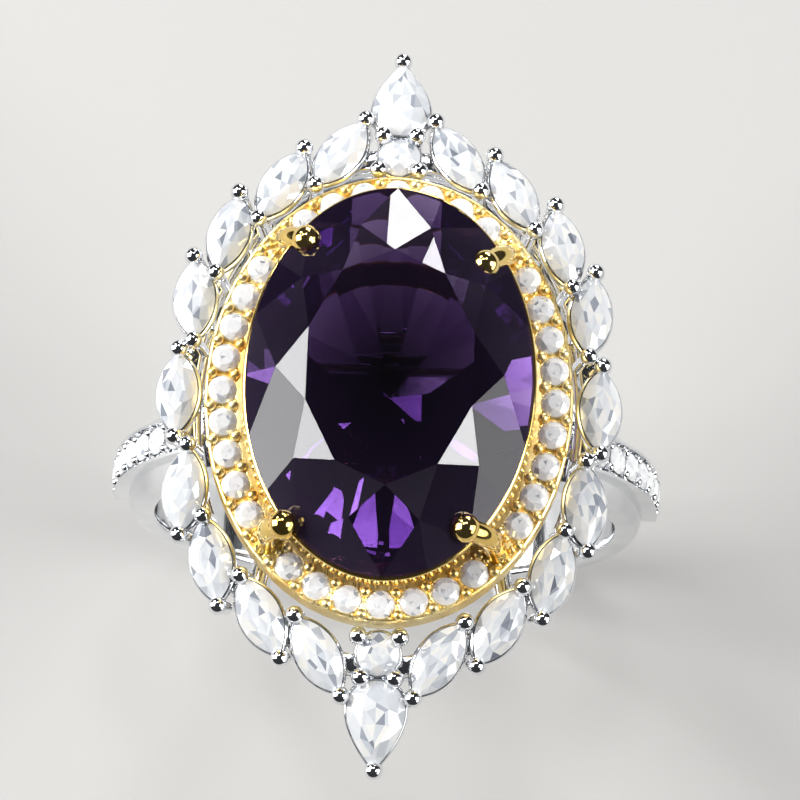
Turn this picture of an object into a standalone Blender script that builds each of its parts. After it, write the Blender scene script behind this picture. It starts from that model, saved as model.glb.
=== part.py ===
"""Cocktail ring: an oval amethyst held by four claws above a gold halo, a wider silver halo
of pointed stones around that, and a hoop with paved shoulders.

The frame is in metres. +Z points out through the table of the centre stone, +Y runs along
the finger and +X across it. The origin is the centre of the finger hole.
"""

import math

import bpy
import numpy as np
from mathutils import Vector

MM = 0.001

# Hoop
FINGER_RADIUS = 8.65 * MM
HOOP_WALL = 1.2 * MM
HOOP_WIDTH = 2.8 * MM
HOOP_CROWN = 0.35 * MM
STRIP_WIDTH = 1.5 * MM
STRIP_RISE = 0.45 * MM
STRIP_START = math.radians(36)
STRIP_END = math.radians(91)

# Centre stone
OVAL_WIDTH = 10.0 * MM
OVAL_LENGTH = 14.0 * MM
OVAL_CROWN = 1.7 * MM
OVAL_PAVILION = 4.4 * MM
OVAL_TABLE_SHARE = 0.6

# Small stones
MARQUISE_LENGTH = 3.0 * MM
MARQUISE_WIDTH = 1.5 * MM
PEAR_LENGTH = 3.1 * MM
PEAR_WIDTH = 2.05 * MM
ROUND_DIAMETER = 1.5 * MM
PAVE_DIAMETER = 1.0 * MM
GIRDLE_SHARE = 0.05
CROWN_SHARE = 0.17
PAVILION_SHARE = 0.42
TABLE_SHARE = 0.58

# Heights of the head, each from the one below it
COLLAR_HEIGHT = FINGER_RADIUS + HOOP_WALL + 0.8 * MM
PAVE_HEIGHT = COLLAR_HEIGHT + 2.25 * MM
DOME_HEIGHT = PAVE_HEIGHT + 0.22 * MM
OVAL_GIRDLE_HEIGHT = PAVE_HEIGHT + 2.0 * MM

# Gold halo: a flat elliptical plate, its stones spaced evenly along its middle line
PAVE_LINE_X = OVAL_WIDTH / 2 + 0.85 * MM
PAVE_LINE_Y = OVAL_LENGTH / 2 + 0.5 * MM
PAVE_STATIONS = 36
CLAW_STATION = 5
PLATE_THICKNESS = 1.0 * MM
PLATE_INNER_MARGIN = 1.1 * MM
PLATE_OUTER_MARGIN = 0.62 * MM
PLATE_CHAMFER = 0.12 * MM
BEAD_RADIUS = 0.2 * MM
BEAD_RISE = 0.24 * MM
BEAD_OFFSET = 0.4 * MM

# Silver halo: the stones lie on a shallow dome, lower towards the rim
DOME_RADIUS_X = 30.0 * MM
DOME_RADIUS_Y = 46.0 * MM
SIDE_MARQUISE_X = PAVE_LINE_X + 1.61 * MM
# Middle of each slanting marquise in one quarter, as shares of the gold halo's half width and half
# length, and the slant of its long axis
SLANTING_MARQUISES = (
    (1.2034, 0.4667, math.radians(-4)),
    (1.0188, 0.8000, math.radians(11)),
    (0.7094, 1.0560, math.radians(27)),
    (0.3590, 1.2267, math.radians(31)),
)
ROUND_Y = PAVE_LINE_Y + 1.6 * MM
PEAR_Y = ROUND_Y + 2.4 * MM
SEAT_WALL = 0.16 * MM
SEAT_DEPTH = 0.9 * MM
SEAT_LIP = 0.05 * MM
BACK_OPENING_SHARE = 0.4
PRONG_RADIUS = 0.31 * MM
PRONG_RISE = 0.48 * MM
PRONG_DROP = 1.15 * MM
PRONG_REACH = 0.1 * MM
# Prongs beside a round stone: across from its middle line, and in from its middle
OUTER_PRONG_X = 0.59 * MM
INNER_PRONG_X = 0.72 * MM
INNER_PRONG_IN = 0.6 * MM
RAIL_X = PAVE_LINE_X + 1.3 * MM
RAIL_Y = PAVE_LINE_Y + 1.85 * MM
RAIL_WIDTH = 0.7 * MM
RAIL_THICKNESS = 0.5 * MM
RAIL_DEPTH = 1.0 * MM

# Basket of the centre stone
CLAW_RADIUS = 0.42 * MM
CLAW_TIP_RADIUS = 0.52 * MM
CLAW_GRIP = 0.62 * MM
CLAW_TIP_OUT = 0.1 * MM
CLAW_STRAIGHT = 0.3 * MM
CLAW_BELOW_GIRDLE = 0.2 * MM
CLAW_STAND_SHARE = 0.9
CLAW_DOME_SHARE = 0.7
COLLAR_X = 2.9 * MM
COLLAR_Y = 4.0 * MM
COLLAR_WIDTH = 0.8 * MM
COLLAR_THICKNESS = 0.7 * MM

# Gallery under the head
FRAME_WIDTH = 0.7 * MM
FRAME_THICKNESS = 0.6 * MM
FRAME_INSET = 0.15 * MM
GALLERY_OPENING = 0.8 * MM
POST_RADIUS = 0.3 * MM
POST_COUNT = 16
STRUT_RADIUS = 0.4 * MM
STRUT_TURN = math.radians(50)
SHOULDER_POST_X = RAIL_X - 0.4 * MM
SADDLE_LENGTH = 7.2 * MM
SADDLE_WIDTH = 2.0 * MM

# Fit between neighbours
SEAT_GAP = 0.03 * MM
GRIP_GAP = 0.05 * MM

# Fineness
TIP_SHOULDER = 0.7
ROUNDED_SIDES = 6
HOOP_STEPS = 60
STRIP_STEPS = 14
ELLIPSE_STEPS = 2880
RAIL_STEPS = 44
OVAL_SIDES = 24
MARQUISE_SIDES = 8
PEAR_SIDES = 10
ROUND_SIDES = 8
PAVE_SIDES = 8
PRONG_SIDES = 6
BEAD_SIDES = 5
CLAW_SIDES = 8

SILVER = ("rhodium_plated_silver", "#DCDDE0", 0.08, 1.0)
GOLD = ("gold_plated_silver", "#E9BE4C", 0.12, 1.0)
AMETHYST = ("amethyst", "#3A1766", 0.02, 0.0)
CLEAR_STONE = ("clear_stone", "#F1F3F6", 0.02, 0.0)


def clear_scene():
    for old in list(bpy.data.objects):
        bpy.data.objects.remove(old, do_unlink=True)


def linear(channel):
    """An sRGB channel from 0 to 1 as linear light."""
    return channel / 12.92 if channel <= 0.04045 else ((channel + 0.055) / 1.055) ** 2.4


def material(look):
    """The material of a look (name, sRGB colour, roughness, metallic), made once."""
    name, colour, roughness, metallic = look
    found = bpy.data.materials.get(name)
    if found:
        return found
    made = bpy.data.materials.new(name)
    made.use_nodes = True
    shader = made.node_tree.nodes["Principled BSDF"]
    rgb = [linear(int(colour[i : i + 2], 16) / 255) for i in (1, 3, 5)]
    shader.inputs["Base Color"].default_value = (*rgb, 1)
    shader.inputs["Roughness"].default_value = roughness
    shader.inputs["Metallic"].default_value = metallic
    return made


def skin(rings, loop=False):
    """(points, faces) of a closed skin over rings with equal numbers of points. An end ring may be
    a single point; with loop, the last ring joins the first."""
    points = np.concatenate(rings)
    starts = np.cumsum([0] + [len(ring) for ring in rings])
    faces = []
    pairs = list(range(len(rings) - 1))
    for i in pairs + ([len(rings) - 1] if loop else []):
        j = (i + 1) % len(rings)
        sides = max(len(rings[i]), len(rings[j]))
        for k in range(sides):
            a, b = starts[i] + k % len(rings[i]), starts[i] + (k + 1) % len(rings[i])
            d, c = starts[j] + k % len(rings[j]), starts[j] + (k + 1) % len(rings[j])
            faces.append(tuple(dict.fromkeys((a, b, c, d))))
    if not loop:
        for i, turn in ((0, -1), (len(rings) - 1, 1)):
            if len(rings[i]) > 1:
                faces.append(tuple(range(starts[i], starts[i + 1]))[::turn])
    return points, faces


def mesh_object(name, shape, look):
    """An object with its mesh in world coordinates, its faces turned outwards."""
    points, faces = shape
    mesh = bpy.data.meshes.new(name)
    mesh.from_pydata([tuple(p) for p in points], [], [tuple(map(int, f)) for f in faces])
    mesh.validate()
    made = bpy.data.objects.new(name, mesh)
    bpy.context.scene.collection.objects.link(made)
    mesh.materials.append(material(look))
    mesh.calc_loop_triangles()
    corners = np.array([[points[v] for v in t.vertices] for t in mesh.loop_triangles])
    if np.linalg.det(corners).sum() < 0:
        mesh.flip_normals()
    return made


def cut_all(shapes, spaces):
    """The shapes with the spaces cut from them, as one shape of many pieces."""
    counts = np.cumsum([0] + [len(points) for points, _ in shapes])
    points = np.concatenate([points for points, _ in shapes])
    faces = [
        tuple(int(vertex + start) for vertex in face)
        for start, (_, own) in zip(counts, shapes)
        for face in own
    ]
    pieces = mesh_object("pieces", (points, faces), SILVER)
    boolean(pieces, "DIFFERENCE", spaces)
    mesh = pieces.data
    cut_points = np.array([vertex.co[:] for vertex in mesh.vertices])
    cut_faces = [tuple(polygon.vertices) for polygon in mesh.polygons]
    bpy.data.objects.remove(pieces, do_unlink=True)
    return [(cut_points, cut_faces)]


def shade_smooth(item, angle=math.radians(35)):
    item.data.shade_smooth()
    item.data.set_sharp_from_angle(angle=angle)


def boolean(body, operation, shapes):
    """Joins the shapes to the body, or cuts them from it, and leaves the result in the body's mesh."""
    tools = bpy.data.collections.new("tools")
    bpy.context.scene.collection.children.link(tools)
    for shape in shapes:
        tool = mesh_object("tool", shape, SILVER)
        tool.data.materials.clear()
        bpy.context.scene.collection.objects.unlink(tool)
        tools.objects.link(tool)
    modifier = body.modifiers.new(operation, "BOOLEAN")
    modifier.operation = operation
    modifier.solver = "EXACT"
    modifier.operand_type = "COLLECTION"
    modifier.collection = tools
    bpy.context.view_layer.update()
    result = bpy.data.meshes.new_from_object(body.evaluated_get(bpy.context.evaluated_depsgraph_get()))
    body.modifiers.clear()
    body.data = result
    for tool in list(tools.objects):
        bpy.data.objects.remove(tool, do_unlink=True)
    bpy.data.collections.remove(tools)


# Outlines, as (x, y) points with the long axis along y


def oval(width, length, sides):
    turn = np.arange(sides) * 2 * math.pi / sides
    return np.stack([width / 2 * np.cos(turn), length / 2 * np.sin(turn)], axis=1)


def marquise(width, length, sides):
    """Two equal arcs that meet in a point at each end."""
    radius = (length**2 + width**2) / (4 * width)
    reach = math.asin(length / 2 / radius)
    turn = np.linspace(-reach, reach, sides // 2 + 1)[:-1]
    arc = np.stack([radius * np.cos(turn) - (radius - width / 2), radius * np.sin(turn)], axis=1)
    return np.concatenate([arc, -arc])


def pear(width, length, sides):
    """A drop with its point at +y: x = sin t sin(t/2), y = cos t."""
    turn = np.arange(sides) * 2 * math.pi / sides
    across = np.sin(turn) * np.abs(np.sin(turn / 2)) / (4 / (3 * math.sqrt(3)))
    return np.stack([-width / 2 * across, length / 2 * np.cos(turn)], axis=1)


def flat_ring(outline, height):
    return np.column_stack([outline, np.full(len(outline), height)])


def stone_rings(cut, width, length, sides, crown, girdle, pavilion, table_share, gap=0.0):
    """Rings of a faceted stone from its table down to its point, with its girdle at z = 0. A gap
    makes it larger all round, which is the space it is set in."""
    outline = cut(width + 2 * gap, length + 2 * gap, sides)
    table = cut(width * table_share + 2 * gap, length * table_share + 2 * gap, sides)
    return [
        flat_ring(table, girdle / 2 + crown + gap),
        flat_ring(outline, girdle / 2 + gap),
        flat_ring(outline, -girdle / 2 - gap),
        np.array([[0, 0, -girdle / 2 - pavilion - gap]]),
    ]


def small_stone(cut, width, length, sides, gap=0.0):
    return stone_rings(
        cut,
        width,
        length,
        sides,
        crown=CROWN_SHARE * width,
        girdle=GIRDLE_SHARE * width,
        pavilion=PAVILION_SHARE * width,
        table_share=TABLE_SHARE,
        gap=gap,
    )


# Places


class Place:
    """Where a stone sits: its middle, the way it faces and the way its long axis points."""

    def __init__(self, middle, facing=(0, 0, 1), along=(0, 1, 0)):
        self.middle = np.array(middle, float)
        self.up = np.array(Vector(facing).normalized())
        side = np.cross(np.array(along, float), self.up)
        self.side = side / np.linalg.norm(side)
        self.along = np.cross(self.up, self.side)

    def put(self, rings):
        frame = np.array([self.side, self.along, self.up])
        return [ring @ frame + self.middle for ring in rings]

    def point(self, x, y, z):
        return self.put([np.array([[x, y, z]])])[0][0]


def on_dome(x, y, slant=0.0):
    """A place on the domed head: z = top - x^2 / 2Rx - y^2 / 2Ry."""
    z = DOME_HEIGHT - x * x / (2 * DOME_RADIUS_X) - y * y / (2 * DOME_RADIUS_Y)
    facing = (x / DOME_RADIUS_X, y / DOME_RADIUS_Y, 1)
    outward = math.copysign(1, y) if y else 1
    along = (-math.copysign(1, x) * math.sin(slant), outward * math.cos(slant), 0)
    return Place((x, y, z), facing, along)


def ellipse_line(half_x, half_y, steps):
    """Points at equal distances along an ellipse from +x, and the outward normal at each."""
    fine = np.linspace(0, 2 * math.pi, ELLIPSE_STEPS + 1)
    curve = np.stack([half_x * np.cos(fine), half_y * np.sin(fine)], axis=1)
    run = np.concatenate([[0], np.cumsum(np.linalg.norm(np.diff(curve, axis=0), axis=1))])
    turn = np.interp(np.arange(steps) / steps * run[-1], run, fine)
    points = np.stack([half_x * np.cos(turn), half_y * np.sin(turn)], axis=1)
    normals = np.stack([np.cos(turn) / half_x, np.sin(turn) / half_y], axis=1)
    return points, normals / np.linalg.norm(normals, axis=1)[:, None]


def ellipse_band(half_x, half_y, section, steps, base):
    """A closed band along an ellipse. The section is (outward, up) points and base(x, y) is the
    height that it follows."""
    points, normals = ellipse_line(half_x, half_y, steps)
    rings = []
    for point, normal in zip(points, normals):
        level = base(*point)
        rings.append(np.array([[*(point + normal * out), level + up] for out, up in section]))
    return skin(rings, loop=True)


def box_section(width, thickness):
    """A rectangle of (outward, up) points that hangs below its line."""
    half = width / 2
    return [(-half, 0), (half, 0), (half, -thickness), (-half, -thickness)]


def dome_level(x, y):
    return on_dome(x, y).middle[2]


def tube(path, radii, sides, tip=0.0):
    """A round bar through the points. A tip closes its last end with a dome, or with a cone where
    the bar has only a few sides."""
    path = [np.array(p, float) for p in path]
    rings = []
    across = np.array([1.0, 0.0, 0.0])
    turn = np.arange(sides) * 2 * math.pi / sides
    for i, point in enumerate(path):
        ahead = path[min(i + 1, len(path) - 1)] - path[max(i - 1, 0)]
        ahead = ahead / np.linalg.norm(ahead)
        across = across - ahead * np.dot(across, ahead)
        across = across / np.linalg.norm(across)
        other = np.cross(ahead, across)
        ring = np.outer(np.cos(turn), across) + np.outer(np.sin(turn), other)
        rings.append(point + radii[i] * ring)
    if tip:
        if sides >= ROUNDED_SIDES:
            shoulder = ring * radii[-1] * math.sqrt(1 - TIP_SHOULDER**2)
            rings.append(point + ahead * tip * TIP_SHOULDER + shoulder)
        rings.append((point + ahead * tip)[None])
    return skin(rings)


# Where the stones go


def quarters(x, y):
    """A point in each of the four quarters, in order around the ring."""
    return [(x, y), (-x, y), (-x, -y), (x, -y)]


def marquise_places():
    places = [on_dome(side * SIDE_MARQUISE_X, 0) for side in (1, -1)]
    for share_x, share_y, slant in SLANTING_MARQUISES:
        x, y = share_x * PAVE_LINE_X, share_y * PAVE_LINE_Y
        places += [on_dome(px, py, slant) for px, py in quarters(x, y)]
    return places


def pear_places():
    return [on_dome(0, side * PEAR_Y) for side in (1, -1)]


def round_places():
    return [on_dome(0, side * ROUND_Y) for side in (1, -1)]


def pave_stations():
    """Each station of the gold halo as (point, outward normal, whether a claw takes it)."""
    points, normals = ellipse_line(PAVE_LINE_X, PAVE_LINE_Y, PAVE_STATIONS)
    half = PAVE_STATIONS // 2
    claws = {CLAW_STATION, half - CLAW_STATION, half + CLAW_STATION, PAVE_STATIONS - CLAW_STATION}
    return [(p, n, k in claws) for k, (p, n) in enumerate(zip(points, normals))]


def pave_places():
    return [
        Place((*point, PAVE_HEIGHT), (0, 0, 1), (-normal[1], normal[0], 0))
        for point, normal, claw in pave_stations()
        if not claw
    ]


def claw_points():
    return [point for point, _, claw in pave_stations() if claw]


def stone_groups():
    """The silver halo's stones: (name, places, cut, width, length, sides) of each kind."""
    return (
        ("marquise", marquise_places(), marquise, MARQUISE_WIDTH, MARQUISE_LENGTH, MARQUISE_SIDES),
        ("pear", pear_places(), pear, PEAR_WIDTH, PEAR_LENGTH, PEAR_SIDES),
        ("round_stone", round_places(), oval, ROUND_DIAMETER, ROUND_DIAMETER, ROUND_SIDES),
    )


def outer_stones(gap=0.0):
    """(name, rings) of every stone in the silver halo."""
    found = []
    for name, places, cut, width, length, sides in stone_groups():
        for number, place in enumerate(places, 1):
            rings = place.put(small_stone(cut, width, length, sides, gap))
            found.append((f"{name}_{number:02d}", rings))
    return found


def pave_stones(gap=0.0):
    return [
        (f"pave_{number:02d}", place.put(small_stone(oval, PAVE_DIAMETER, PAVE_DIAMETER, PAVE_SIDES, gap)))
        for number, place in enumerate(pave_places(), 1)
    ]


def centre_stone(gap=0.0):
    rings = stone_rings(
        oval,
        OVAL_WIDTH,
        OVAL_LENGTH,
        OVAL_SIDES,
        crown=OVAL_CROWN,
        girdle=GIRDLE_SHARE * OVAL_CROWN * 2,
        pavilion=OVAL_PAVILION,
        table_share=OVAL_TABLE_SHARE,
        gap=gap,
    )
    return Place((0, 0, OVAL_GIRDLE_HEIGHT)).put(rings)


# Metal


def hoop_shape(gap=0.0):
    """The full hoop: a flat inside, square edges and a slightly crowned outside."""
    wall = HOOP_WALL + gap
    half = HOOP_WIDTH / 2 + gap
    edge = wall - HOOP_CROWN
    section = [(0, -half), (edge, -half), (wall - HOOP_CROWN / 4, -half / 2)]
    section += [(wall, 0), (wall - HOOP_CROWN / 4, half / 2), (edge, half), (0, half)]
    rings = []
    for step in range(HOOP_STEPS):
        turn = 2 * math.pi * step / HOOP_STEPS
        outward = np.array([math.sin(turn), 0, math.cos(turn)])
        rings.append(np.array([outward * (FINGER_RADIUS + r) + [0, y, 0] for r, y in section]))
    return skin(rings, loop=True)


def strip_shape(side, gap=0.0):
    """The raised strip on one shoulder that carries its row of stones."""
    low = FINGER_RADIUS + HOOP_WALL / 2
    high = FINGER_RADIUS + HOOP_WALL + STRIP_RISE + gap
    half = STRIP_WIDTH / 2 + gap
    section = [(low, -half), (high, -half), (high, half), (low, half)]
    rings = []
    for turn in np.linspace(STRIP_START, STRIP_END, STRIP_STEPS + 1):
        outward = np.array([side * math.sin(turn), 0, math.cos(turn)])
        rings.append(np.array([outward * r + [0, y, 0] for r, y in section]))
    return skin(rings)


def shank():
    body = mesh_object("shank", hoop_shape(), SILVER)
    boolean(body, "UNION", [strip_shape(side) for side in (1, -1)])
    shade_smooth(body)
    return body


def seat(place, cut, width, length, sides):
    """The wall around a stone, open behind it: one ring of metal whose inside follows the stone."""
    girdle = GIRDLE_SHARE * width / 2 + SEAT_GAP
    outside = cut(width + 2 * SEAT_WALL, length + 2 * SEAT_WALL, sides)
    foot = cut(width * TABLE_SHARE + 2 * SEAT_WALL, length * TABLE_SHARE + 2 * SEAT_WALL, sides)
    opening = cut(width * BACK_OPENING_SHARE, length * BACK_OPENING_SHARE, sides)
    pocket = cut(width + 2 * SEAT_GAP, length + 2 * SEAT_GAP, sides)
    profile = (
        (outside, SEAT_LIP),
        (foot, -SEAT_DEPTH),
        (opening, -SEAT_DEPTH),
        (pocket, -girdle),
        (pocket, SEAT_LIP),
    )
    return skin(place.put([flat_ring(outline, z) for outline, z in profile]), loop=True)


def rail_level(x, y):
    """The top of the rail that joins the seats."""
    return dome_level(x, y) - RAIL_DEPTH + RAIL_THICKNESS / 2


def prong_places():
    """The foot of each prong: at the tips of every marquise and pear and beside every round stone."""
    reach = MARQUISE_LENGTH / 2 + PRONG_REACH
    points = [place.point(0, side * reach, 0)[:2] for place in marquise_places() for side in (1, -1)]
    points += [place.point(0, PEAR_LENGTH / 2, 0)[:2] for place in pear_places()]
    middle_gap = (ROUND_Y + ROUND_DIAMETER / 2 + PEAR_Y - PEAR_LENGTH / 2) / 2
    points += quarters(OUTER_PRONG_X, middle_gap)
    points += quarters(INNER_PRONG_X, ROUND_Y - INNER_PRONG_IN)
    return [on_dome(*point) for point in points]


def upright(place, foot, rise, radius, sides):
    """A short post with a rounded top, from foot below a place to rise above it."""
    path = [place.point(0, 0, z) for z in (-foot, rise - radius)]
    return tube(path, [radius] * 2, sides, tip=radius)


def silver_halo():
    rail = ellipse_band(
        RAIL_X, RAIL_Y, box_section(RAIL_WIDTH, RAIL_THICKNESS), RAIL_STEPS, rail_level
    )
    body = mesh_object("outer_halo", rail, SILVER)
    prongs = [
        upright(place, PRONG_DROP, PRONG_RISE, PRONG_RADIUS, PRONG_SIDES) for place in prong_places()
    ]
    held = [skin(rings) for _, rings in outer_stones(GRIP_GAP)]
    seats = [seat(place, *kind) for _, places, *kind in stone_groups() for place in places]
    boolean(body, "UNION", seats + cut_all(prongs, held))
    shade_smooth(body)
    return body


def pave_space(place, gap):
    """The space drilled for one round stone: the stone itself, then a hole through the plate."""
    rings = small_stone(oval, PAVE_DIAMETER, PAVE_DIAMETER, PAVE_SIDES, gap)
    girdle = GIRDLE_SHARE * PAVE_DIAMETER / 2 + gap
    throat = girdle + PAVILION_SHARE * PAVE_DIAMETER * (1 - BACK_OPENING_SHARE)
    hole = oval(PAVE_DIAMETER * BACK_OPENING_SHARE, PAVE_DIAMETER * BACK_OPENING_SHARE, PAVE_SIDES)
    below = [flat_ring(hole, -throat), flat_ring(hole, -2 * PLATE_THICKNESS)]
    return skin(place.put(rings[:-1] + below))


def gold_halo_spaces(gap):
    """Everything that passes through the gold plate, larger all round by the gap."""
    stones_there = [pave_space(place, gap) for place in pave_places()]
    return stones_there + [claw(point, gap) for point in claw_points()]


def bead_places():
    """Two beads between each station and the next, one towards each edge of the plate."""
    points, normals = ellipse_line(PAVE_LINE_X, PAVE_LINE_Y, PAVE_STATIONS * 2)
    between = list(zip(points, normals))[1::2]
    return [Place((*(p + n * side * BEAD_OFFSET), PAVE_HEIGHT)) for p, n in between for side in (1, -1)]


def gold_halo():
    section = [
        (-PLATE_INNER_MARGIN, 0),
        (PLATE_OUTER_MARGIN - PLATE_CHAMFER, 0),
        (PLATE_OUTER_MARGIN, -PLATE_CHAMFER),
        (PLATE_OUTER_MARGIN, -PLATE_THICKNESS),
        (-PLATE_INNER_MARGIN, -PLATE_THICKNESS),
    ]
    plate = ellipse_band(PAVE_LINE_X, PAVE_LINE_Y, section, PAVE_STATIONS * 2, lambda x, y: PAVE_HEIGHT)
    body = mesh_object("inner_halo", plate, GOLD)
    boolean(body, "DIFFERENCE", gold_halo_spaces(SEAT_GAP))
    beads = [
        upright(place, PLATE_THICKNESS / 3, BEAD_RISE, BEAD_RADIUS, BEAD_SIDES) for place in bead_places()
    ]
    boolean(body, "UNION", cut_all(beads, gold_halo_spaces(GRIP_GAP)))
    shade_smooth(body)
    return body


def girdle_side(point):
    """The point of the centre stone's girdle nearest a claw, and the way out from it."""
    scale = math.hypot(point[0] / (OVAL_WIDTH / 2), point[1] / (OVAL_LENGTH / 2))
    edge = np.array(point) / scale
    out = np.array([edge[0] / OVAL_WIDTH**2, edge[1] / OVAL_LENGTH**2])
    return edge, out / np.linalg.norm(out)


def claw(point, gap=0.0):
    """A claw: up from the collar, through the gold plate, past the girdle and over the crown."""
    edge, out = girdle_side(point)
    collar = math.hypot(point[0] / COLLAR_X, point[1] / COLLAR_Y)
    stand = CLAW_RADIUS * CLAW_STAND_SHARE
    path = [
        (*(np.array(point) / collar), COLLAR_HEIGHT - COLLAR_THICKNESS / 2),
        (*point, PAVE_HEIGHT - PLATE_THICKNESS),
        (*point, PAVE_HEIGHT + CLAW_STRAIGHT),
        (*(edge + out * stand), OVAL_GIRDLE_HEIGHT - CLAW_BELOW_GIRDLE),
        (*(edge + out * CLAW_TIP_OUT), OVAL_GIRDLE_HEIGHT + CLAW_GRIP),
    ]
    radii = [CLAW_RADIUS + gap] * 4 + [CLAW_TIP_RADIUS + gap]
    return tube(path, radii, CLAW_SIDES, tip=CLAW_TIP_RADIUS * CLAW_DOME_SHARE)


def basket():
    collar = ellipse_band(
        COLLAR_X,
        COLLAR_Y,
        box_section(COLLAR_WIDTH, COLLAR_THICKNESS),
        RAIL_STEPS // 2,
        lambda x, y: COLLAR_HEIGHT,
    )
    body = mesh_object("claw_basket", collar, GOLD)
    boolean(body, "UNION", [claw(point) for point in claw_points()])
    boolean(body, "DIFFERENCE", [skin(centre_stone(SEAT_GAP))])
    shade_smooth(body)
    return body


def frame_level(x, y):
    """The top of the gallery frame: it follows the dome, one opening below the silver halo's rail."""
    return rail_level(x, y) - RAIL_THICKNESS - GALLERY_OPENING


def posts():
    """The posts that hold the silver halo's rail up from the frame. Each stops where its highest
    corner would meet the rail, which slopes with the dome."""
    points, _ = ellipse_line(RAIL_X - FRAME_INSET, RAIL_Y - FRAME_INSET, POST_COUNT)
    shapes = []
    for x, y in points:
        foot = (x, y, frame_level(x, y) - FRAME_THICKNESS / 2)
        slope = math.hypot(x / DOME_RADIUS_X, y / DOME_RADIUS_Y)
        head = (x, y, rail_level(x, y) - RAIL_THICKNESS - SEAT_GAP - POST_RADIUS * slope)
        shapes.append(tube([foot, head], [POST_RADIUS] * 2, BEAD_SIDES))
    return shapes


def saddle():
    """The block that sits on the hoop and carries the collar."""
    top = COLLAR_HEIGHT - COLLAR_THICKNESS - SEAT_GAP
    base = FINGER_RADIUS + HOOP_WALL / 4
    half_x, half_y = SADDLE_LENGTH / 2, SADDLE_WIDTH / 2
    corners = np.array(quarters(half_x, half_y))
    return skin([flat_ring(corners, top), flat_ring(corners, base)])


def struts():
    """The bars from the saddle's corners out to the frame."""
    level = COLLAR_HEIGHT - COLLAR_THICKNESS - 2 * SEAT_GAP - STRUT_RADIUS
    inner = quarters(SADDLE_LENGTH / 2 - STRUT_RADIUS, SADDLE_WIDTH / 2 - STRUT_RADIUS)
    reach_x, reach_y = RAIL_X - FRAME_INSET, RAIL_Y - FRAME_INSET
    outer = quarters(reach_x * math.cos(STRUT_TURN), reach_y * math.sin(STRUT_TURN))
    shapes = []
    for near, far in zip(inner, outer):
        end = (*far, frame_level(*far) - FRAME_THICKNESS / 2)
        shapes.append(tube([(*near, level), end], [STRUT_RADIUS] * 2, BEAD_SIDES))
    return shapes


def shoulder_posts():
    """The posts that stand on the hoop beside each raised strip and carry the frame's long sides."""
    beside = (STRIP_WIDTH / 2 + HOOP_WIDTH / 2) / 2
    shapes = []
    for x, y in quarters(SHOULDER_POST_X, beside):
        foot = math.sqrt((FINGER_RADIUS + HOOP_WALL / 2) ** 2 - x * x)
        head = frame_level(x, y) - FRAME_THICKNESS / 2
        shapes.append(tube([(x, y, foot), (x, y, head)], [POST_RADIUS] * 2, BEAD_SIDES))
    return shapes


def gallery():
    band = ellipse_band(
        RAIL_X - FRAME_INSET,
        RAIL_Y - FRAME_INSET,
        box_section(FRAME_WIDTH, FRAME_THICKNESS),
        RAIL_STEPS,
        frame_level,
    )
    body = mesh_object("gallery", band, SILVER)
    boolean(body, "UNION", posts() + [saddle()] + struts() + shoulder_posts())
    strips = [strip_shape(side, SEAT_GAP) for side in (1, -1)]
    boolean(body, "DIFFERENCE", [hoop_shape(SEAT_GAP)] + strips)
    shade_smooth(body)
    return body


def stones():
    for name, rings in outer_stones() + pave_stones():
        mesh_object(name, skin(rings), CLEAR_STONE)
    mesh_object("centre_stone", skin(centre_stone()), AMETHYST)


def main():
    clear_scene()
    shank()
    gallery()
    silver_halo()
    gold_halo()
    basket()
    stones()


if __name__ == "__main__":
    main()
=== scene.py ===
"""The looks of a two-tone cocktail ring.

An oval amethyst stands in a gold claw basket above a gold halo of small round stones. A wider
rhodium-plated halo of marquise, pear and round stones surrounds it, and a polished hoop with paved
shoulders carries the head. Lengths in this file are millimetres, and meshes are made in metres.
"""

import logging
import math
from dataclasses import dataclass, replace
from enum import Enum
from typing import Callable, Sequence

import bmesh
import bpy
import numpy as np
from mathutils import Matrix, Vector


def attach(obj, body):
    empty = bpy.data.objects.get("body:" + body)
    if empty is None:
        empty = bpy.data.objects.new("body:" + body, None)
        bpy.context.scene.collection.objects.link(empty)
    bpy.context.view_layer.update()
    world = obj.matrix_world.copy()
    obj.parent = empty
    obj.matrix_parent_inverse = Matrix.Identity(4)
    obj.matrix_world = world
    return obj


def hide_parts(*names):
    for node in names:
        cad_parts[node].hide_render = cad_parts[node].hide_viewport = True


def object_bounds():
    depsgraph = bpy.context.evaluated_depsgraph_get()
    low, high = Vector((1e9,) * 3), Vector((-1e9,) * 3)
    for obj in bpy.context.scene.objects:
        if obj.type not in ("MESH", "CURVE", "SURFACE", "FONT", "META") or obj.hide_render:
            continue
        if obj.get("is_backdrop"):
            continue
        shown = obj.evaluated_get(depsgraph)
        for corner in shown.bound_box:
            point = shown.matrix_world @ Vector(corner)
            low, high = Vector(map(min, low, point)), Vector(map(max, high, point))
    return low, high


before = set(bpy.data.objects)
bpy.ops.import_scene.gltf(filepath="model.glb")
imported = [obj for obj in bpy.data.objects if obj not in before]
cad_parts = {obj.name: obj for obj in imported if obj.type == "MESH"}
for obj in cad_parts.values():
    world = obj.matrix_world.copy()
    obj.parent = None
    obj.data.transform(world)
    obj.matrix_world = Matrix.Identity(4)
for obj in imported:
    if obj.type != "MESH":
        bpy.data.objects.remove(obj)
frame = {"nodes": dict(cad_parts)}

LOG = logging.getLogger("ring")
MM = 0.001
FULL_TURN = 2 * math.pi
BODY = "root"
# A radius in millimetres that draws a turned end to a point, which make_piece then merges
CLOSED = 1e-4
MERGE_M = 1e-8

Array = np.ndarray
Outline = Callable[[Array], Array]


# ---------------------------------------------------------------- finishes


class Slot(Enum):
    """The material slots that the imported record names."""

    SILVER = "silver"
    GOLD = "gold"
    AMETHYST = "amethyst"
    CLEAR_STONE = "clear_stone"


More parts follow.
